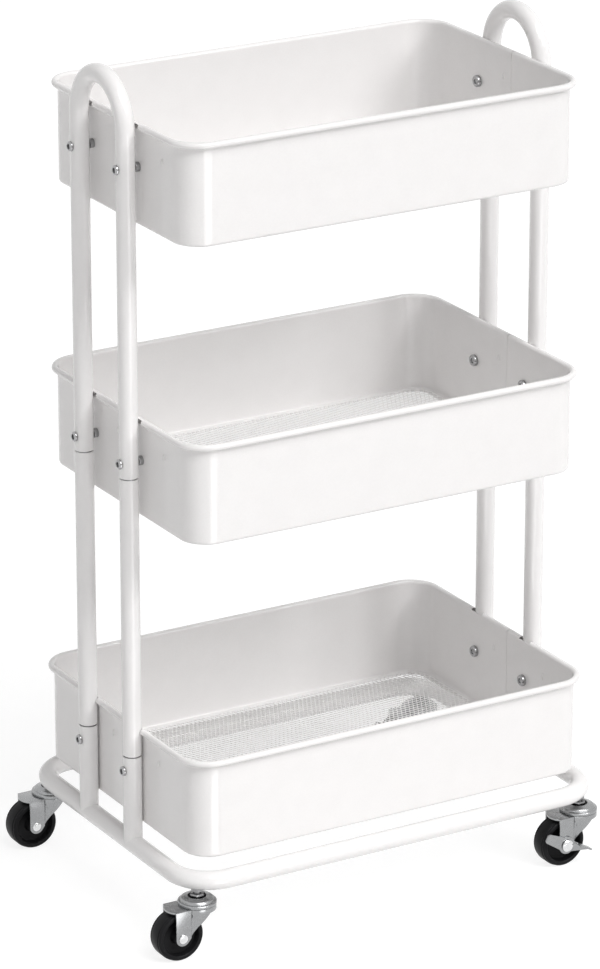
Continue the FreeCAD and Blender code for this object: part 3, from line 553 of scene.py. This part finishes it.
def dress_tray_wall(tray):
    """One bent strip whose ends meet at a seam in the right end wall."""
    half_x, half_y, foot, rim = tray_sizes(tray)
    start_y = SEAM_WIDTH / 2 - SEAM_OFFSET
    bm = bmesh.new()
    section = sheet_section(bm, half_x, start_y, foot, rim)
    end_y = -SEAM_WIDTH / 2 - SEAM_OFFSET
    carry_round(bm, section, half_x, half_y, TRAY_CORNER - SHEET / 2, start_y, end_y)
    close_up(bm)
    notch_rim(bm)
    bmesh.ops.recalc_face_normals(bm, faces=bm.faces)
    bmesh.ops.solidify(bm, geom=bm.faces[:], thickness=SHEET)
    set_down(bm, f"tray_strip_{tray}", TRAY_COAT, "frame", [f"tray_wall_{tray}"])


def dress_seam_lap(tray):
    """The narrow lap behind a tray's seam, welded on the outside of the end wall."""
    half_x, _, foot, rim = tray_sizes(tray)
    low_z = foot + 2 * FOOT_BEND
    high_z = rim - RIM_CURL - FOOT_BEND
    bm = bmesh.new()
    bmesh.ops.create_cube(bm, size=1)
    bmesh.ops.scale(bm, verts=bm.verts, vec=(SHEET, SEAM_LAP, high_z - low_z))
    bmesh.ops.translate(bm, verts=bm.verts, vec=(half_x + SHEET, -SEAM_OFFSET, (low_z + high_z) / 2))
    ease(bm, SHEET / 4, 2)
    set_down(bm, f"seam_lap_{tray}", TRAY_COAT, "frame", [])


def dress_weld_pips(tray):
    """Small upright dimples that stand out of the end walls, in front of each upright."""
    half_x, _, _, rim = tray_sizes(tray)
    pip_z = rim - PIP_DROP
    pip = bmesh.new()
    bmesh.ops.create_uvsphere(pip, u_segments=PIP_SEGMENTS, v_segments=PIP_RINGS, radius=1)
    bmesh.ops.scale(pip, verts=pip.verts, vec=PIP_HALF_SIZES)
    places = []
    for sx, sy in CORNERS.values():
        place = (sx * (half_x + SHEET / 2), sy * UPRIGHT_Y - PIP_OFFSET[tray], pip_z)
        places.append(Matrix.Translation(place))
    set_down(repeated(pip, places), f"weld_pips_{tray}", TRAY_COAT, "frame", [])


def trim_to_outline(bm, half_x, half_y):
    """Cuts a flat net to a rectangle with rounded corners."""
    planes = [((sx * half_x, 0, 0), (sx, 0, 0)) for sx in (-1, 1)]
    planes += [((0, sy * half_y, 0), (0, sy, 0)) for sy in (-1, 1)]
    for sx, sy in CORNERS.values():
        centre = Vector((sx * (half_x - MESH_CORNER), sy * (half_y - MESH_CORNER), 0))
        for step in range(1, MESH_CORNER_CUTS):
            angle = QUARTER * step / MESH_CORNER_CUTS
            outward = Vector((sx * math.cos(angle), sy * math.sin(angle), 0))
            planes.append((centre + MESH_CORNER * outward, outward))
    for point, normal in planes:
        cut(bm, point, normal, clear_outer=True)


def dress_tray_floor(tray):
    """Expanded mesh with a plain hem: a diamond grid whose whole cells are opened."""
    low, high = box_mm(f"tray_floor_{tray}")
    half_x = (high.x - low.x) / 2
    half_y = (high.y - low.y) / 2
    cells = 2 * math.ceil(half_x / MESH_PITCH_X + half_y / MESH_PITCH_Y) + 2
    diagonal = math.sqrt(2)
    bm = bmesh.new()
    bmesh.ops.create_grid(bm, x_segments=cells, y_segments=cells, size=cells / 2)
    bmesh.ops.rotate(bm, verts=bm.verts, matrix=Matrix.Rotation(QUARTER / 2, 3, "Z"))
    stretch = (MESH_PITCH_X / diagonal, MESH_PITCH_Y / diagonal, 1)
    bmesh.ops.scale(bm, verts=bm.verts, vec=stretch)
    trim_to_outline(bm, half_x, half_y)
    whole = WHOLE_CELL * MESH_PITCH_X * MESH_PITCH_Y / 2
    opened = []
    for face in bm.faces:
        middle = face.calc_center_median()
        inside_x = abs(middle.x) < half_x - MESH_HEM
        inside_y = abs(middle.y) < half_y - MESH_HEM
        past_x = abs(middle.x) - half_x + MESH_CORNER
        past_y = abs(middle.y) - half_y + MESH_CORNER
        in_corner = past_x > 0 and past_y > 0 and math.hypot(past_x, past_y) > MESH_CORNER - MESH_HEM
        if inside_x and inside_y and not in_corner and face.calc_area() > whole:
            opened.append(face)
    bmesh.ops.inset_individual(bm, faces=opened, thickness=MESH_STRAND / 2, use_even_offset=True)
    bmesh.ops.delete(bm, geom=opened, context="FACES")
    bmesh.ops.recalc_face_normals(bm, faces=bm.faces)
    bmesh.ops.solidify(bm, geom=bm.faces[:], thickness=high.z - low.z)
    bmesh.ops.translate(bm, verts=bm.verts, vec=(0, 0, low.z))
    set_down(bm, f"tray_mesh_{tray}", MESH_COAT, "frame", [f"tray_floor_{tray}"])


# Fasteners

FASTENER_SIDES = 36
SOCKET_FLATS = 5
SOCKET_CORNERS = 6
SOCKET_MOUTH = 0.35
BOLT_HEAD_R = 5
BOLT_HEAD_H = 3
BOLT_SHANK_R = 3
BOLT_PAST_WALL = 2.8
BOLT_SOCKET = 2.4
NUT_R = 6
NUT_H = 4.2
NUT_BORE_R = 3.1
NUT_BORE_DEPTH = 1
NUT_SOCKET = 2.6
SPACER_BORE_R = 3.2
SPACER_EASE = 0.4

# Domes from the socket's mouth to the head's edge, as radius and drop below the top
BOLT_DOME = ((3.2, 0), (3.7, 0.1), (4.3, 0.5), (4.75, 1.15), (BOLT_HEAD_R, 2))
NUT_DOME = ((3.3, 0), (4.4, 0.1), (5.4, 0.6), (NUT_R, 1.6))


def outward_turn(sx):
    """The turn that points a fastener's own Z axis out through an end wall."""
    return Matrix.Rotation(sx * QUARTER, 4, "Y")


def sink_socket(bm, mouth_z, depth):
    """Sinks a hexagon socket from a round mouth in a turned head."""
    rim = [edge for edge in bm.edges if edge.is_boundary]
    place = Matrix.Translation((0, 0, mouth_z - SOCKET_MOUTH))
    sides = circle(bm, SOCKET_FLATS / math.sqrt(3), SOCKET_CORNERS, place)
    parted = bmesh.ops.subdivide_edges(bm, edges=sides, cuts=FASTENER_SIDES // SOCKET_CORNERS - 1)
    hexagon = edges_of(parted["geom"])
    bmesh.ops.bridge_loops(bm, edges=rim + hexagon)
    floor = pull(bm, hexagon, (0, 0, SOCKET_MOUTH - depth))
    bmesh.ops.contextual_create(bm, geom=floor)


def dress_bolts(tray):
    """Four button-head bolts, with their heads outside the uprights."""
    node = f"tray_bolts_{tray}"
    low, high = box_mm(node)
    seat_x = (high.x - low.x) / 2 - BOLT_HEAD_H
    wall_inside = tray_sizes(tray)[0] - SHEET / 2
    shank_end = wall_inside - BOLT_PAST_WALL - seat_x
    outline = (
        *((radius, BOLT_HEAD_H - drop) for radius, drop in BOLT_DOME),
        (BOLT_HEAD_R, 0),
        (BOLT_SHANK_R, 0),
        (BOLT_SHANK_R, shank_end),
        (0, shank_end),
    )
    bolt = bmesh.new()
    lathe(bolt, outline, FASTENER_SIDES)
    sink_socket(bolt, BOLT_HEAD_H, BOLT_SOCKET)
    close_up(bolt)
    places = []
    for sx, sy in CORNERS.values():
        seat = Matrix.Translation((sx * seat_x, sy * UPRIGHT_Y, (low.z + high.z) / 2))
        places.append(seat @ outward_turn(sx))
    set_down(repeated(bolt, places), f"bolts_{tray}", BOLT_NICKEL, "frame", [node])


def dress_nuts(tray):
    """Four round nuts against the inside of the end walls."""
    node = f"tray_nuts_{tray}"
    low, high = box_mm(node)
    reach = (high.x - low.x) / 2
    outline = (
        *((radius, NUT_H - drop) for radius, drop in NUT_DOME),
        (NUT_R, 0),
        (NUT_BORE_R, 0),
        (NUT_BORE_R, NUT_BORE_DEPTH),
        (0, NUT_BORE_DEPTH),
    )
    nut = bmesh.new()
    lathe(nut, outline, FASTENER_SIDES)
    sink_socket(nut, NUT_H, NUT_SOCKET)
    close_up(nut)
    places = []
    for sx, sy in CORNERS.values():
        seat = Matrix.Translation((sx * reach, sy * UPRIGHT_Y, (low.z + high.z) / 2))
        places.append(seat @ outward_turn(-sx))
    set_down(repeated(nut, places), f"nuts_{tray}", BOLT_NICKEL, "frame", [node])


def dress_spacers(tray):
    """Four sleeves between the uprights and the end walls."""
    node = f"tray_spacers_{tray}"
    low, high = box_mm(node)
    reach = (high.x - low.x) / 2
    wall_outside = tray_sizes(tray)[0] + SHEET / 2
    end = wall_outside - reach
    radius = (high.z - low.z) / 2
    outline = (
        (SPACER_BORE_R, 0),
        (radius, 0),
        (radius, end),
        (SPACER_BORE_R, end),
        (SPACER_BORE_R, 0),
    )
    sleeve = bmesh.new()
    lathe(sleeve, outline, FASTENER_SIDES)
    ease(sleeve, SPACER_EASE)
    places = []
    for sx, sy in CORNERS.values():
        seat = Matrix.Translation((sx * reach, sy * UPRIGHT_Y, (low.z + high.z) / 2))
        places.append(seat @ outward_turn(sx))
    set_down(repeated(sleeve, places), f"spacers_{tray}", BOLT_NICKEL, "frame", [node])


# Casters

WHEEL_SIDES = 72
CAP_SIDES = 64
RIVET_SIDES = 36
CHEEK_OUTSIDE = 13.75
CHEEK_INSIDE = 11.95
CREASE_OFFSET = 9
FORK_EASE = 0.8
LEVER_EASE = 0.4
LOCK_NUT_EASE = 0.5
CAP_GAUGE = 1.6
CAP_STEP = 3.2
CAP_CHAMFER = 0.7
CAP_BEAD_INSET = 2.6
CAP_CROWN_R = 11.5
CAP_CROWN_RISE = 3.7
CAP_RECESS_R = 9
CAP_RECESS = 2.6
CAP_LIP = 0.6
CAP_BORE_R = 4.1
CAP_EASE = 0.4
CAP_SHARP = math.radians(24)
# A black ring that paints the shade in the raceway's sunk middle
SHADE_RING_BORE_R = 4.2
SHADE_RING_R = 8.8
SHADE_RING_GAUGE = 0.2
TYRE_HALF_WIDTH = 10
TREAD_DROP = 3.8
WHEEL_BORE_R = 3.06
WHEEL_EASE = 0.3
HUB_R = 6.9
HUB_CHAMFER = (1.1, 0.9)
WEB_HALF_GAUGE = 3.5
WEB_FROM_R = 9.1
WEB_TO_R = 18.4
AXLE_SHANK_R = 3
RIVET_HEAD_R = 4.6
RIVET_HEAD_H = 1.6
RIVET_NECK_H = 0.1
BRAKE_BOLT_HEAD_H = 3.4
BRAKE_BOLT_NECK_SHARE = 0.78
BRAKE_BOLT_NECK_H = 0.7

# The crease in a fork's cheek, as run from its foot and depth
CREASE_GROOVE = ((0, 0), (1, 1.3), (3, 0.8), (6, 0))

# The raceway's bead, as inset from its side and rise above the step
CAP_BEAD = ((0, 0.3), (0, 1.5), (1.2, 2.9))

# The tyre's shoulder and the groove beside its tread, as radius and drop from its side
TYRE_SHOULDER = ((19.6, 0.6), (20.4, 0), (23, 0), (24.3, 1.1), (24.5, 2.6), (24.1, 3), (24.1, 3.4))

# Domes of the axle's heads, as shares of the head's radius and height
RIVET_DOME = ((0.55, 0.2), (0.86, 0.5), (1, 0.85))
OUTER_DOME = ((1, 0.5), (0.9, 0.28), (0.6, 0.07))


def plain_copy(node):
    """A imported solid's own shape in millimetres, with its flat faces made whole."""
    bm = bmesh.new()
    bm.from_mesh(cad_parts[node].data)
    bmesh.ops.transform(bm, matrix=TO_MILLIMETRES, verts=bm.verts)
    bmesh.ops.remove_doubles(bm, verts=bm.verts, dist=MERGE)
    bmesh.ops.dissolve_limit(bm, angle_limit=math.radians(1), verts=bm.verts, edges=bm.edges)
    return bm


def eased_copy(node, width):
    """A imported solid's own shape with its sharp edges rounded."""
    bm = plain_copy(node)
    ease(bm, width, 2)
    return bm


def dress_cap(corner):
    """The fixed raceway: a stepped pressing with a sunk middle."""
    node = f"caster_cap_{corner}"
    low, high = box_mm(node)
    rim_r = (high.x - low.x) / 2
    foot = low.z
    top = high.z
    step = foot + CAP_STEP
    bead_r = rim_r - CAP_BEAD_INSET
    recess = top - CAP_RECESS
    outline = (
        (rim_r - CAP_GAUGE, foot),
        (rim_r, foot),
        (rim_r, step - CAP_CHAMFER),
        (rim_r - CAP_CHAMFER, step),
        *((bead_r - inset, step + rise) for inset, rise in CAP_BEAD),
        (CAP_CROWN_R, step + CAP_CROWN_RISE),
        (CAP_RECESS_R + CAP_CHAMFER, top),
        (CAP_RECESS_R, top - CAP_LIP),
        (CAP_RECESS_R, recess),
        (CAP_BORE_R, recess),
        (CAP_BORE_R, recess - CAP_GAUGE),
        (CAP_RECESS_R + CAP_GAUGE, recess - CAP_GAUGE),
        (bead_r - CAP_GAUGE, step),
        (bead_r - CAP_GAUGE, step - CAP_GAUGE),
        (rim_r - CAP_GAUGE, step - CAP_GAUGE),
        (rim_r - CAP_GAUGE, foot),
    )
    bm = bmesh.new()
    lathe(bm, outline, CAP_SIDES)
    ease(bm, CAP_EASE, least=CAP_SHARP)
    place = Matrix.Translation(((low.x + high.x) / 2, (low.y + high.y) / 2, 0))
    set_down(bm, f"raceway_{corner}", ZINC_PLATE, "frame", [node], place)


def dress_recess_shade_ring(corner):
    """A black ring on the floor of the raceway's sunk middle, round the lock nut, which paints the shade of
    the recess.
    """
    low, high = box_mm(f"caster_cap_{corner}")
    recess = high.z - CAP_RECESS
    outline = (
        (SHADE_RING_BORE_R, recess),
        (SHADE_RING_R, recess),
        (SHADE_RING_R, recess + SHADE_RING_GAUGE),
        (SHADE_RING_BORE_R, recess + SHADE_RING_GAUGE),
        (SHADE_RING_BORE_R, recess),
    )
    bm = bmesh.new()
    lathe(bm, outline, CAP_SIDES)
    place = Matrix.Translation(((low.x + high.x) / 2, (low.y + high.y) / 2, 0))
    set_down(bm, f"recess_shade_ring_{corner}", WHEEL_BLACK, "frame", [], place)


def press_crease(bm, middle_y, crease_x):
    """Presses a crease down each cheek, steep beside the flat strip over the axle and fading to the skirt."""
    for run, depth in CREASE_GROOVE:
        cut_x = crease_x + run
        cut(bm, (cut_x, 0, 0), X_AXIS)
        for side in (-1, 1):
            pressed = []
            for vert in bm.verts:
                out = side * (vert.co.y - middle_y)
                on_cheek = CHEEK_INSIDE - MERGE < out < CHEEK_OUTSIDE + MERGE
                if on_cheek and abs(vert.co.x - cut_x) < MERGE:
                    pressed.append(vert)
            bmesh.ops.translate(bm, verts=pressed, vec=(0, -side * depth, 0))


def dress_fork(corner):
    """The stamped fork, with a crease down each cheek."""
    node = f"caster_fork_{corner}"
    bm = plain_copy(node)
    centre = wheel_centre(corner)
    press_crease(bm, centre.y, centre.x + CREASE_OFFSET)
    ease(bm, FORK_EASE, 2)
    set_down(bm, f"fork_{corner}", ZINC_PLATE, f"fork_{corner}", [node], Matrix.Identity(4))


def dress_lever(corner):
    """The brake's bent lever, which tilts on the axle bolt."""
    node = f"brake_lever_{corner}"
    bm = eased_copy(node, LEVER_EASE)
    set_down(bm, f"pedal_{corner}", ZINC_PLATE, f"brake_{corner}", [node], Matrix.Identity(4))


def dress_lock_nuts():
    """The hexagon nuts that lock the stems against the raceways, in steel darkened with painted shade from
    the ring above.
    """
    node = "stem_lock_nuts"
    bm = eased_copy(node, LOCK_NUT_EASE)
    set_down(bm, "hex_nuts", PAINTED_SHADE_STEEL, "frame", [node], Matrix.Identity(4))


def wheel_centre(corner):
    """The middle of a wheel, which lies on its axle."""
    low, high = box_mm(f"caster_wheel_{corner}")
    return (low + high) / 2


def dress_wheel(corner):
    """A moulded wheel with a crowned tread, a sunk web on each side and a hub."""
    node = f"caster_wheel_{corner}"
    low, high = box_mm(node)
    radius = (high.z - low.z) / 2 - HAIR
    hub = (high.y - low.y) / 2
    chamfer_r, chamfer_h = HUB_CHAMFER
    side = (
        (WHEEL_BORE_R, hub),
        (HUB_R, hub),
        (HUB_R + chamfer_r, hub - chamfer_h),
        (WEB_FROM_R, WEB_HALF_GAUGE),
        (WEB_TO_R, WEB_HALF_GAUGE),
        *((shoulder_r, TYRE_HALF_WIDTH - drop) for shoulder_r, drop in TYRE_SHOULDER),
        (radius, TYRE_HALF_WIDTH - TREAD_DROP),
    )
    back = tuple((r, -h) for r, h in reversed(side))
    bm = bmesh.new()
    lathe(bm, side + back + side[:1], WHEEL_SIDES)
    ease(bm, WHEEL_EASE, 2)
    place = Matrix.Translation(wheel_centre(corner)) @ Matrix.Rotation(-QUARTER, 4, "X")
    set_down(bm, f"tyre_{corner}", WHEEL_BLACK, f"wheel_{corner}", [node], place)


def dress_axle(corner):
    """A rivet with domed heads, or a bolt with a tall domed head over a brake lever."""
    node = f"caster_axle_{corner}"
    low, high = box_mm(node)
    centre = wheel_centre(corner)
    _, sy = CORNERS[corner]
    outer = max(sy * (low.y - centre.y), sy * (high.y - centre.y))
    inner = max(-sy * (low.y - centre.y), -sy * (high.y - centre.y))
    head_r = (high.z - low.z) / 2
    head_h = RIVET_HEAD_H
    neck_r = head_r
    neck_h = RIVET_NECK_H
    if corner in BRAKED:
        head_h = BRAKE_BOLT_HEAD_H
        neck_r = BRAKE_BOLT_NECK_SHARE * head_r
        neck_h = BRAKE_BOLT_NECK_H
    seat = outer - head_h
    outline = (
        (0, -inner),
        *((share * RIVET_HEAD_R, rise * RIVET_HEAD_H - inner) for share, rise in RIVET_DOME),
        (RIVET_HEAD_R, RIVET_HEAD_H - inner),
        (AXLE_SHANK_R, RIVET_HEAD_H - inner),
        (AXLE_SHANK_R, seat),
        (neck_r, seat),
        (neck_r, seat + neck_h),
        (head_r, seat + neck_h),
        *((share * head_r, outer - drop * head_h) for share, drop in OUTER_DOME),
        (0, outer),
    )
    bm = bmesh.new()
    lathe(bm, outline, RIVET_SIDES)
    place = Matrix.Translation(centre) @ Matrix.Rotation(-sy * QUARTER, 4, "X")
    set_down(bm, f"axle_{corner}", FASTENER_STEEL, f"fork_{corner}", [node], place)


def finish_plain_solids():
    """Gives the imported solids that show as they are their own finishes."""
    # The stems and bushes take the steel darkened with painted shade, since they stand in shade under the
    # ring
    kept = {"stem_bushes": PAINTED_SHADE_STEEL}
    for corner in CORNERS:
        kept[f"caster_stem_{corner}"] = PAINTED_SHADE_STEEL
        kept[f"caster_balls_{corner}"] = FASTENER_STEEL
    for node, finish in kept.items():
        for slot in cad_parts[node].material_slots:
            slot.material = finish["look"]


# Stage

WHITE = (1, 1, 1, 1)
FLOOR_REACH = 40
FLOOR_BOUNCE = (0.88, 0.88, 0.88, 1)
FLOOR_SHADOW = (0.27, 0.27, 0.27, 1)
FLOOR_GLOW = 0.84
AMBIENT = 0.29
KEY_STRENGTH = 1.06
KEY_FROM = Vector((0.35, -0.75, 0.56))
KEY_SPREAD = math.radians(18)
FILL_STRENGTH = 0.14
FILL_FROM = Vector((-0.9, -0.2, 0.34))
FILL_SPREAD = math.radians(45)
OVERHEAD_STRENGTH = 1.38
OVERHEAD_FROM = Vector((0.05, -0.55, 0.83))
OVERHEAD_SPREAD = math.radians(30)
SENSOR_WIDTH = 36
FOCAL_LENGTH = 187.93
FRAMING_SHIFT = -0.1
CAMERA_PLACE = (-2.38152, -4.08391, 2.13813)
CAMERA_TILT = math.radians(70.9)
CAMERA_HEADING = math.radians(-30.21)
CARD_GLOW = 4.0
CARD_LIFT = 0.003
CARD_OUTLINE = (
    (-0.3, -0.5),
    (-0.24, -0.33),
    (-0.155, -0.33),
    (-0.12, -0.5),
    (0.2, -1.4),
    (0.9, -2.6),
    (1.3, -3.3),
    (-0.5, -3.3),
)


def seen_directly(tree):
    """A mask of the rays that show a surface itself: from the camera, in a reflection or through a gap."""
    path = tree.nodes.new("ShaderNodeLightPath")
    first = tree.nodes.new("ShaderNodeMath")
    first.operation = "MAXIMUM"
    both = tree.nodes.new("ShaderNodeMath")
    both.operation = "MAXIMUM"
    tree.links.new(path.outputs["Is Camera Ray"], first.inputs[0])
    tree.links.new(path.outputs["Is Glossy Ray"], first.inputs[1])
    tree.links.new(first.outputs["Value"], both.inputs[0])
    tree.links.new(path.outputs["Is Transmission Ray"], both.inputs[1])
    return both.outputs["Value"]


def set_world():
    """Soft light from all sides, with a white surround for what is seen directly."""
    world = bpy.data.worlds.new("studio")
    world.use_nodes = True
    bpy.context.scene.world = world
    tree = world.node_tree
    fill = tree.nodes["Background"]
    fill.inputs["Color"].default_value = WHITE
    fill.inputs["Strength"].default_value = AMBIENT
    white = tree.nodes.new("ShaderNodeBackground")
    white.inputs["Color"].default_value = WHITE
    mix = tree.nodes.new("ShaderNodeMixShader")
    tree.links.new(seen_directly(tree), mix.inputs["Fac"])
    tree.links.new(fill.outputs["Background"], mix.inputs[1])
    tree.links.new(white.outputs["Background"], mix.inputs[2])
    tree.links.new(mix.outputs["Shader"], tree.nodes["World Output"].inputs["Surface"])


def lay_floor():
    """A wide floor that looks white but for the cart's shadow."""
    look = bpy.data.materials.new("studio_floor")
    look.use_nodes = True
    tree = look.node_tree
    tree.nodes.remove(tree.nodes["Principled BSDF"])
    bounce = tree.nodes.new("ShaderNodeBsdfDiffuse")
    bounce.inputs["Color"].default_value = FLOOR_BOUNCE
    shadow = tree.nodes.new("ShaderNodeBsdfDiffuse")
    shadow.inputs["Color"].default_value = FLOOR_SHADOW
    glow = tree.nodes.new("ShaderNodeEmission")
    glow.inputs["Color"].default_value = WHITE
    glow.inputs["Strength"].default_value = FLOOR_GLOW
    pale = tree.nodes.new("ShaderNodeAddShader")
    mix = tree.nodes.new("ShaderNodeMixShader")
    link = tree.links.new
    link(shadow.outputs["BSDF"], pale.inputs[0])
    link(glow.outputs["Emission"], pale.inputs[1])
    link(seen_directly(tree), mix.inputs["Fac"])
    link(bounce.outputs["BSDF"], mix.inputs[1])
    link(pale.outputs["Shader"], mix.inputs[2])
    link(mix.outputs["Shader"], tree.nodes["Material Output"].inputs["Surface"])
    bm = bmesh.new()
    bmesh.ops.create_grid(bm, x_segments=1, y_segments=1, size=FLOOR_REACH)
    mesh = bpy.data.meshes.new("studio_floor")
    bm.to_mesh(mesh)
    bm.free()
    mesh.materials.append(look)
    floor = bpy.data.objects.new("studio_floor", mesh)
    bpy.context.scene.collection.objects.link(floor)


def hang_sun(name, strength, spread, direction):
    """A broad lamp far away, which shines from a direction."""
    lamp = bpy.data.lights.new(name, "SUN")
    lamp.energy = strength
    lamp.angle = spread
    sun = bpy.data.objects.new(name, lamp)
    sun.rotation_euler = direction.to_track_quat("Z", "Y").to_euler()
    bpy.context.scene.collection.objects.link(sun)


def lay_reflector_card():
    """A bright card on the floor that shows only as a streak in the paint of the rounded corners."""
    look = bpy.data.materials.new("reflector_card")
    look.use_nodes = True
    tree = look.node_tree
    tree.nodes.remove(tree.nodes["Principled BSDF"])
    glow = tree.nodes.new("ShaderNodeEmission")
    glow.inputs["Color"].default_value = WHITE
    glow.inputs["Strength"].default_value = CARD_GLOW
    tree.links.new(glow.outputs["Emission"], tree.nodes["Material Output"].inputs["Surface"])
    bm = bmesh.new()
    bm.faces.new([bm.verts.new((x, y, CARD_LIFT)) for x, y in CARD_OUTLINE])
    mesh = bpy.data.meshes.new("reflector_card")
    bm.to_mesh(mesh)
    bm.free()
    mesh.materials.append(look)
    card = bpy.data.objects.new("reflector_card", mesh)
    card.visible_camera = False
    card.visible_diffuse = False
    card.visible_shadow = False
    bpy.context.scene.collection.objects.link(card)


def set_camera():
    """The camera that frames the cart as the photograph does."""
    lens = bpy.data.cameras.new("camera")
    lens.sensor_width = SENSOR_WIDTH
    lens.lens = FOCAL_LENGTH
    lens.shift_y = FRAMING_SHIFT
    camera = bpy.data.objects.new("camera", lens)
    camera.location = CAMERA_PLACE
    camera.rotation_euler = (CAMERA_TILT, 0, CAMERA_HEADING)
    bpy.context.scene.collection.objects.link(camera)
    bpy.context.scene.camera = camera


def dress_cart():
    dress_base_ring()
    for corner in CORNERS:
        dress_stub(corner)
        dress_post(corner)
        dress_spigots(corner)
    dress_hoop(-1, "handle_hoop_left")
    dress_hoop(1, "handle_hoop_right")
    for tray in TRAYS:
        dress_tray_wall(tray)
        dress_seam_lap(tray)
        dress_weld_pips(tray)
        dress_tray_floor(tray)
        dress_bolts(tray)
        dress_nuts(tray)
    dress_spacers("top")
    dress_spacers("middle")
    dress_lock_nuts()
    for corner in CORNERS:
        dress_cap(corner)
        dress_recess_shade_ring(corner)
        dress_fork(corner)
        dress_wheel(corner)
        dress_axle(corner)
    for corner in BRAKED:
        dress_lever(corner)
    finish_plain_solids()


dress_cart()
set_world()
lay_floor()
hang_sun("key", KEY_STRENGTH, KEY_SPREAD, KEY_FROM)
hang_sun("fill", FILL_STRENGTH, FILL_SPREAD, FILL_FROM)
hang_sun("overhead", OVERHEAD_STRENGTH, OVERHEAD_SPREAD, OVERHEAD_FROM)
lay_reflector_card()
set_camera()
bpy.context.scene.view_settings.view_transform = "Standard"
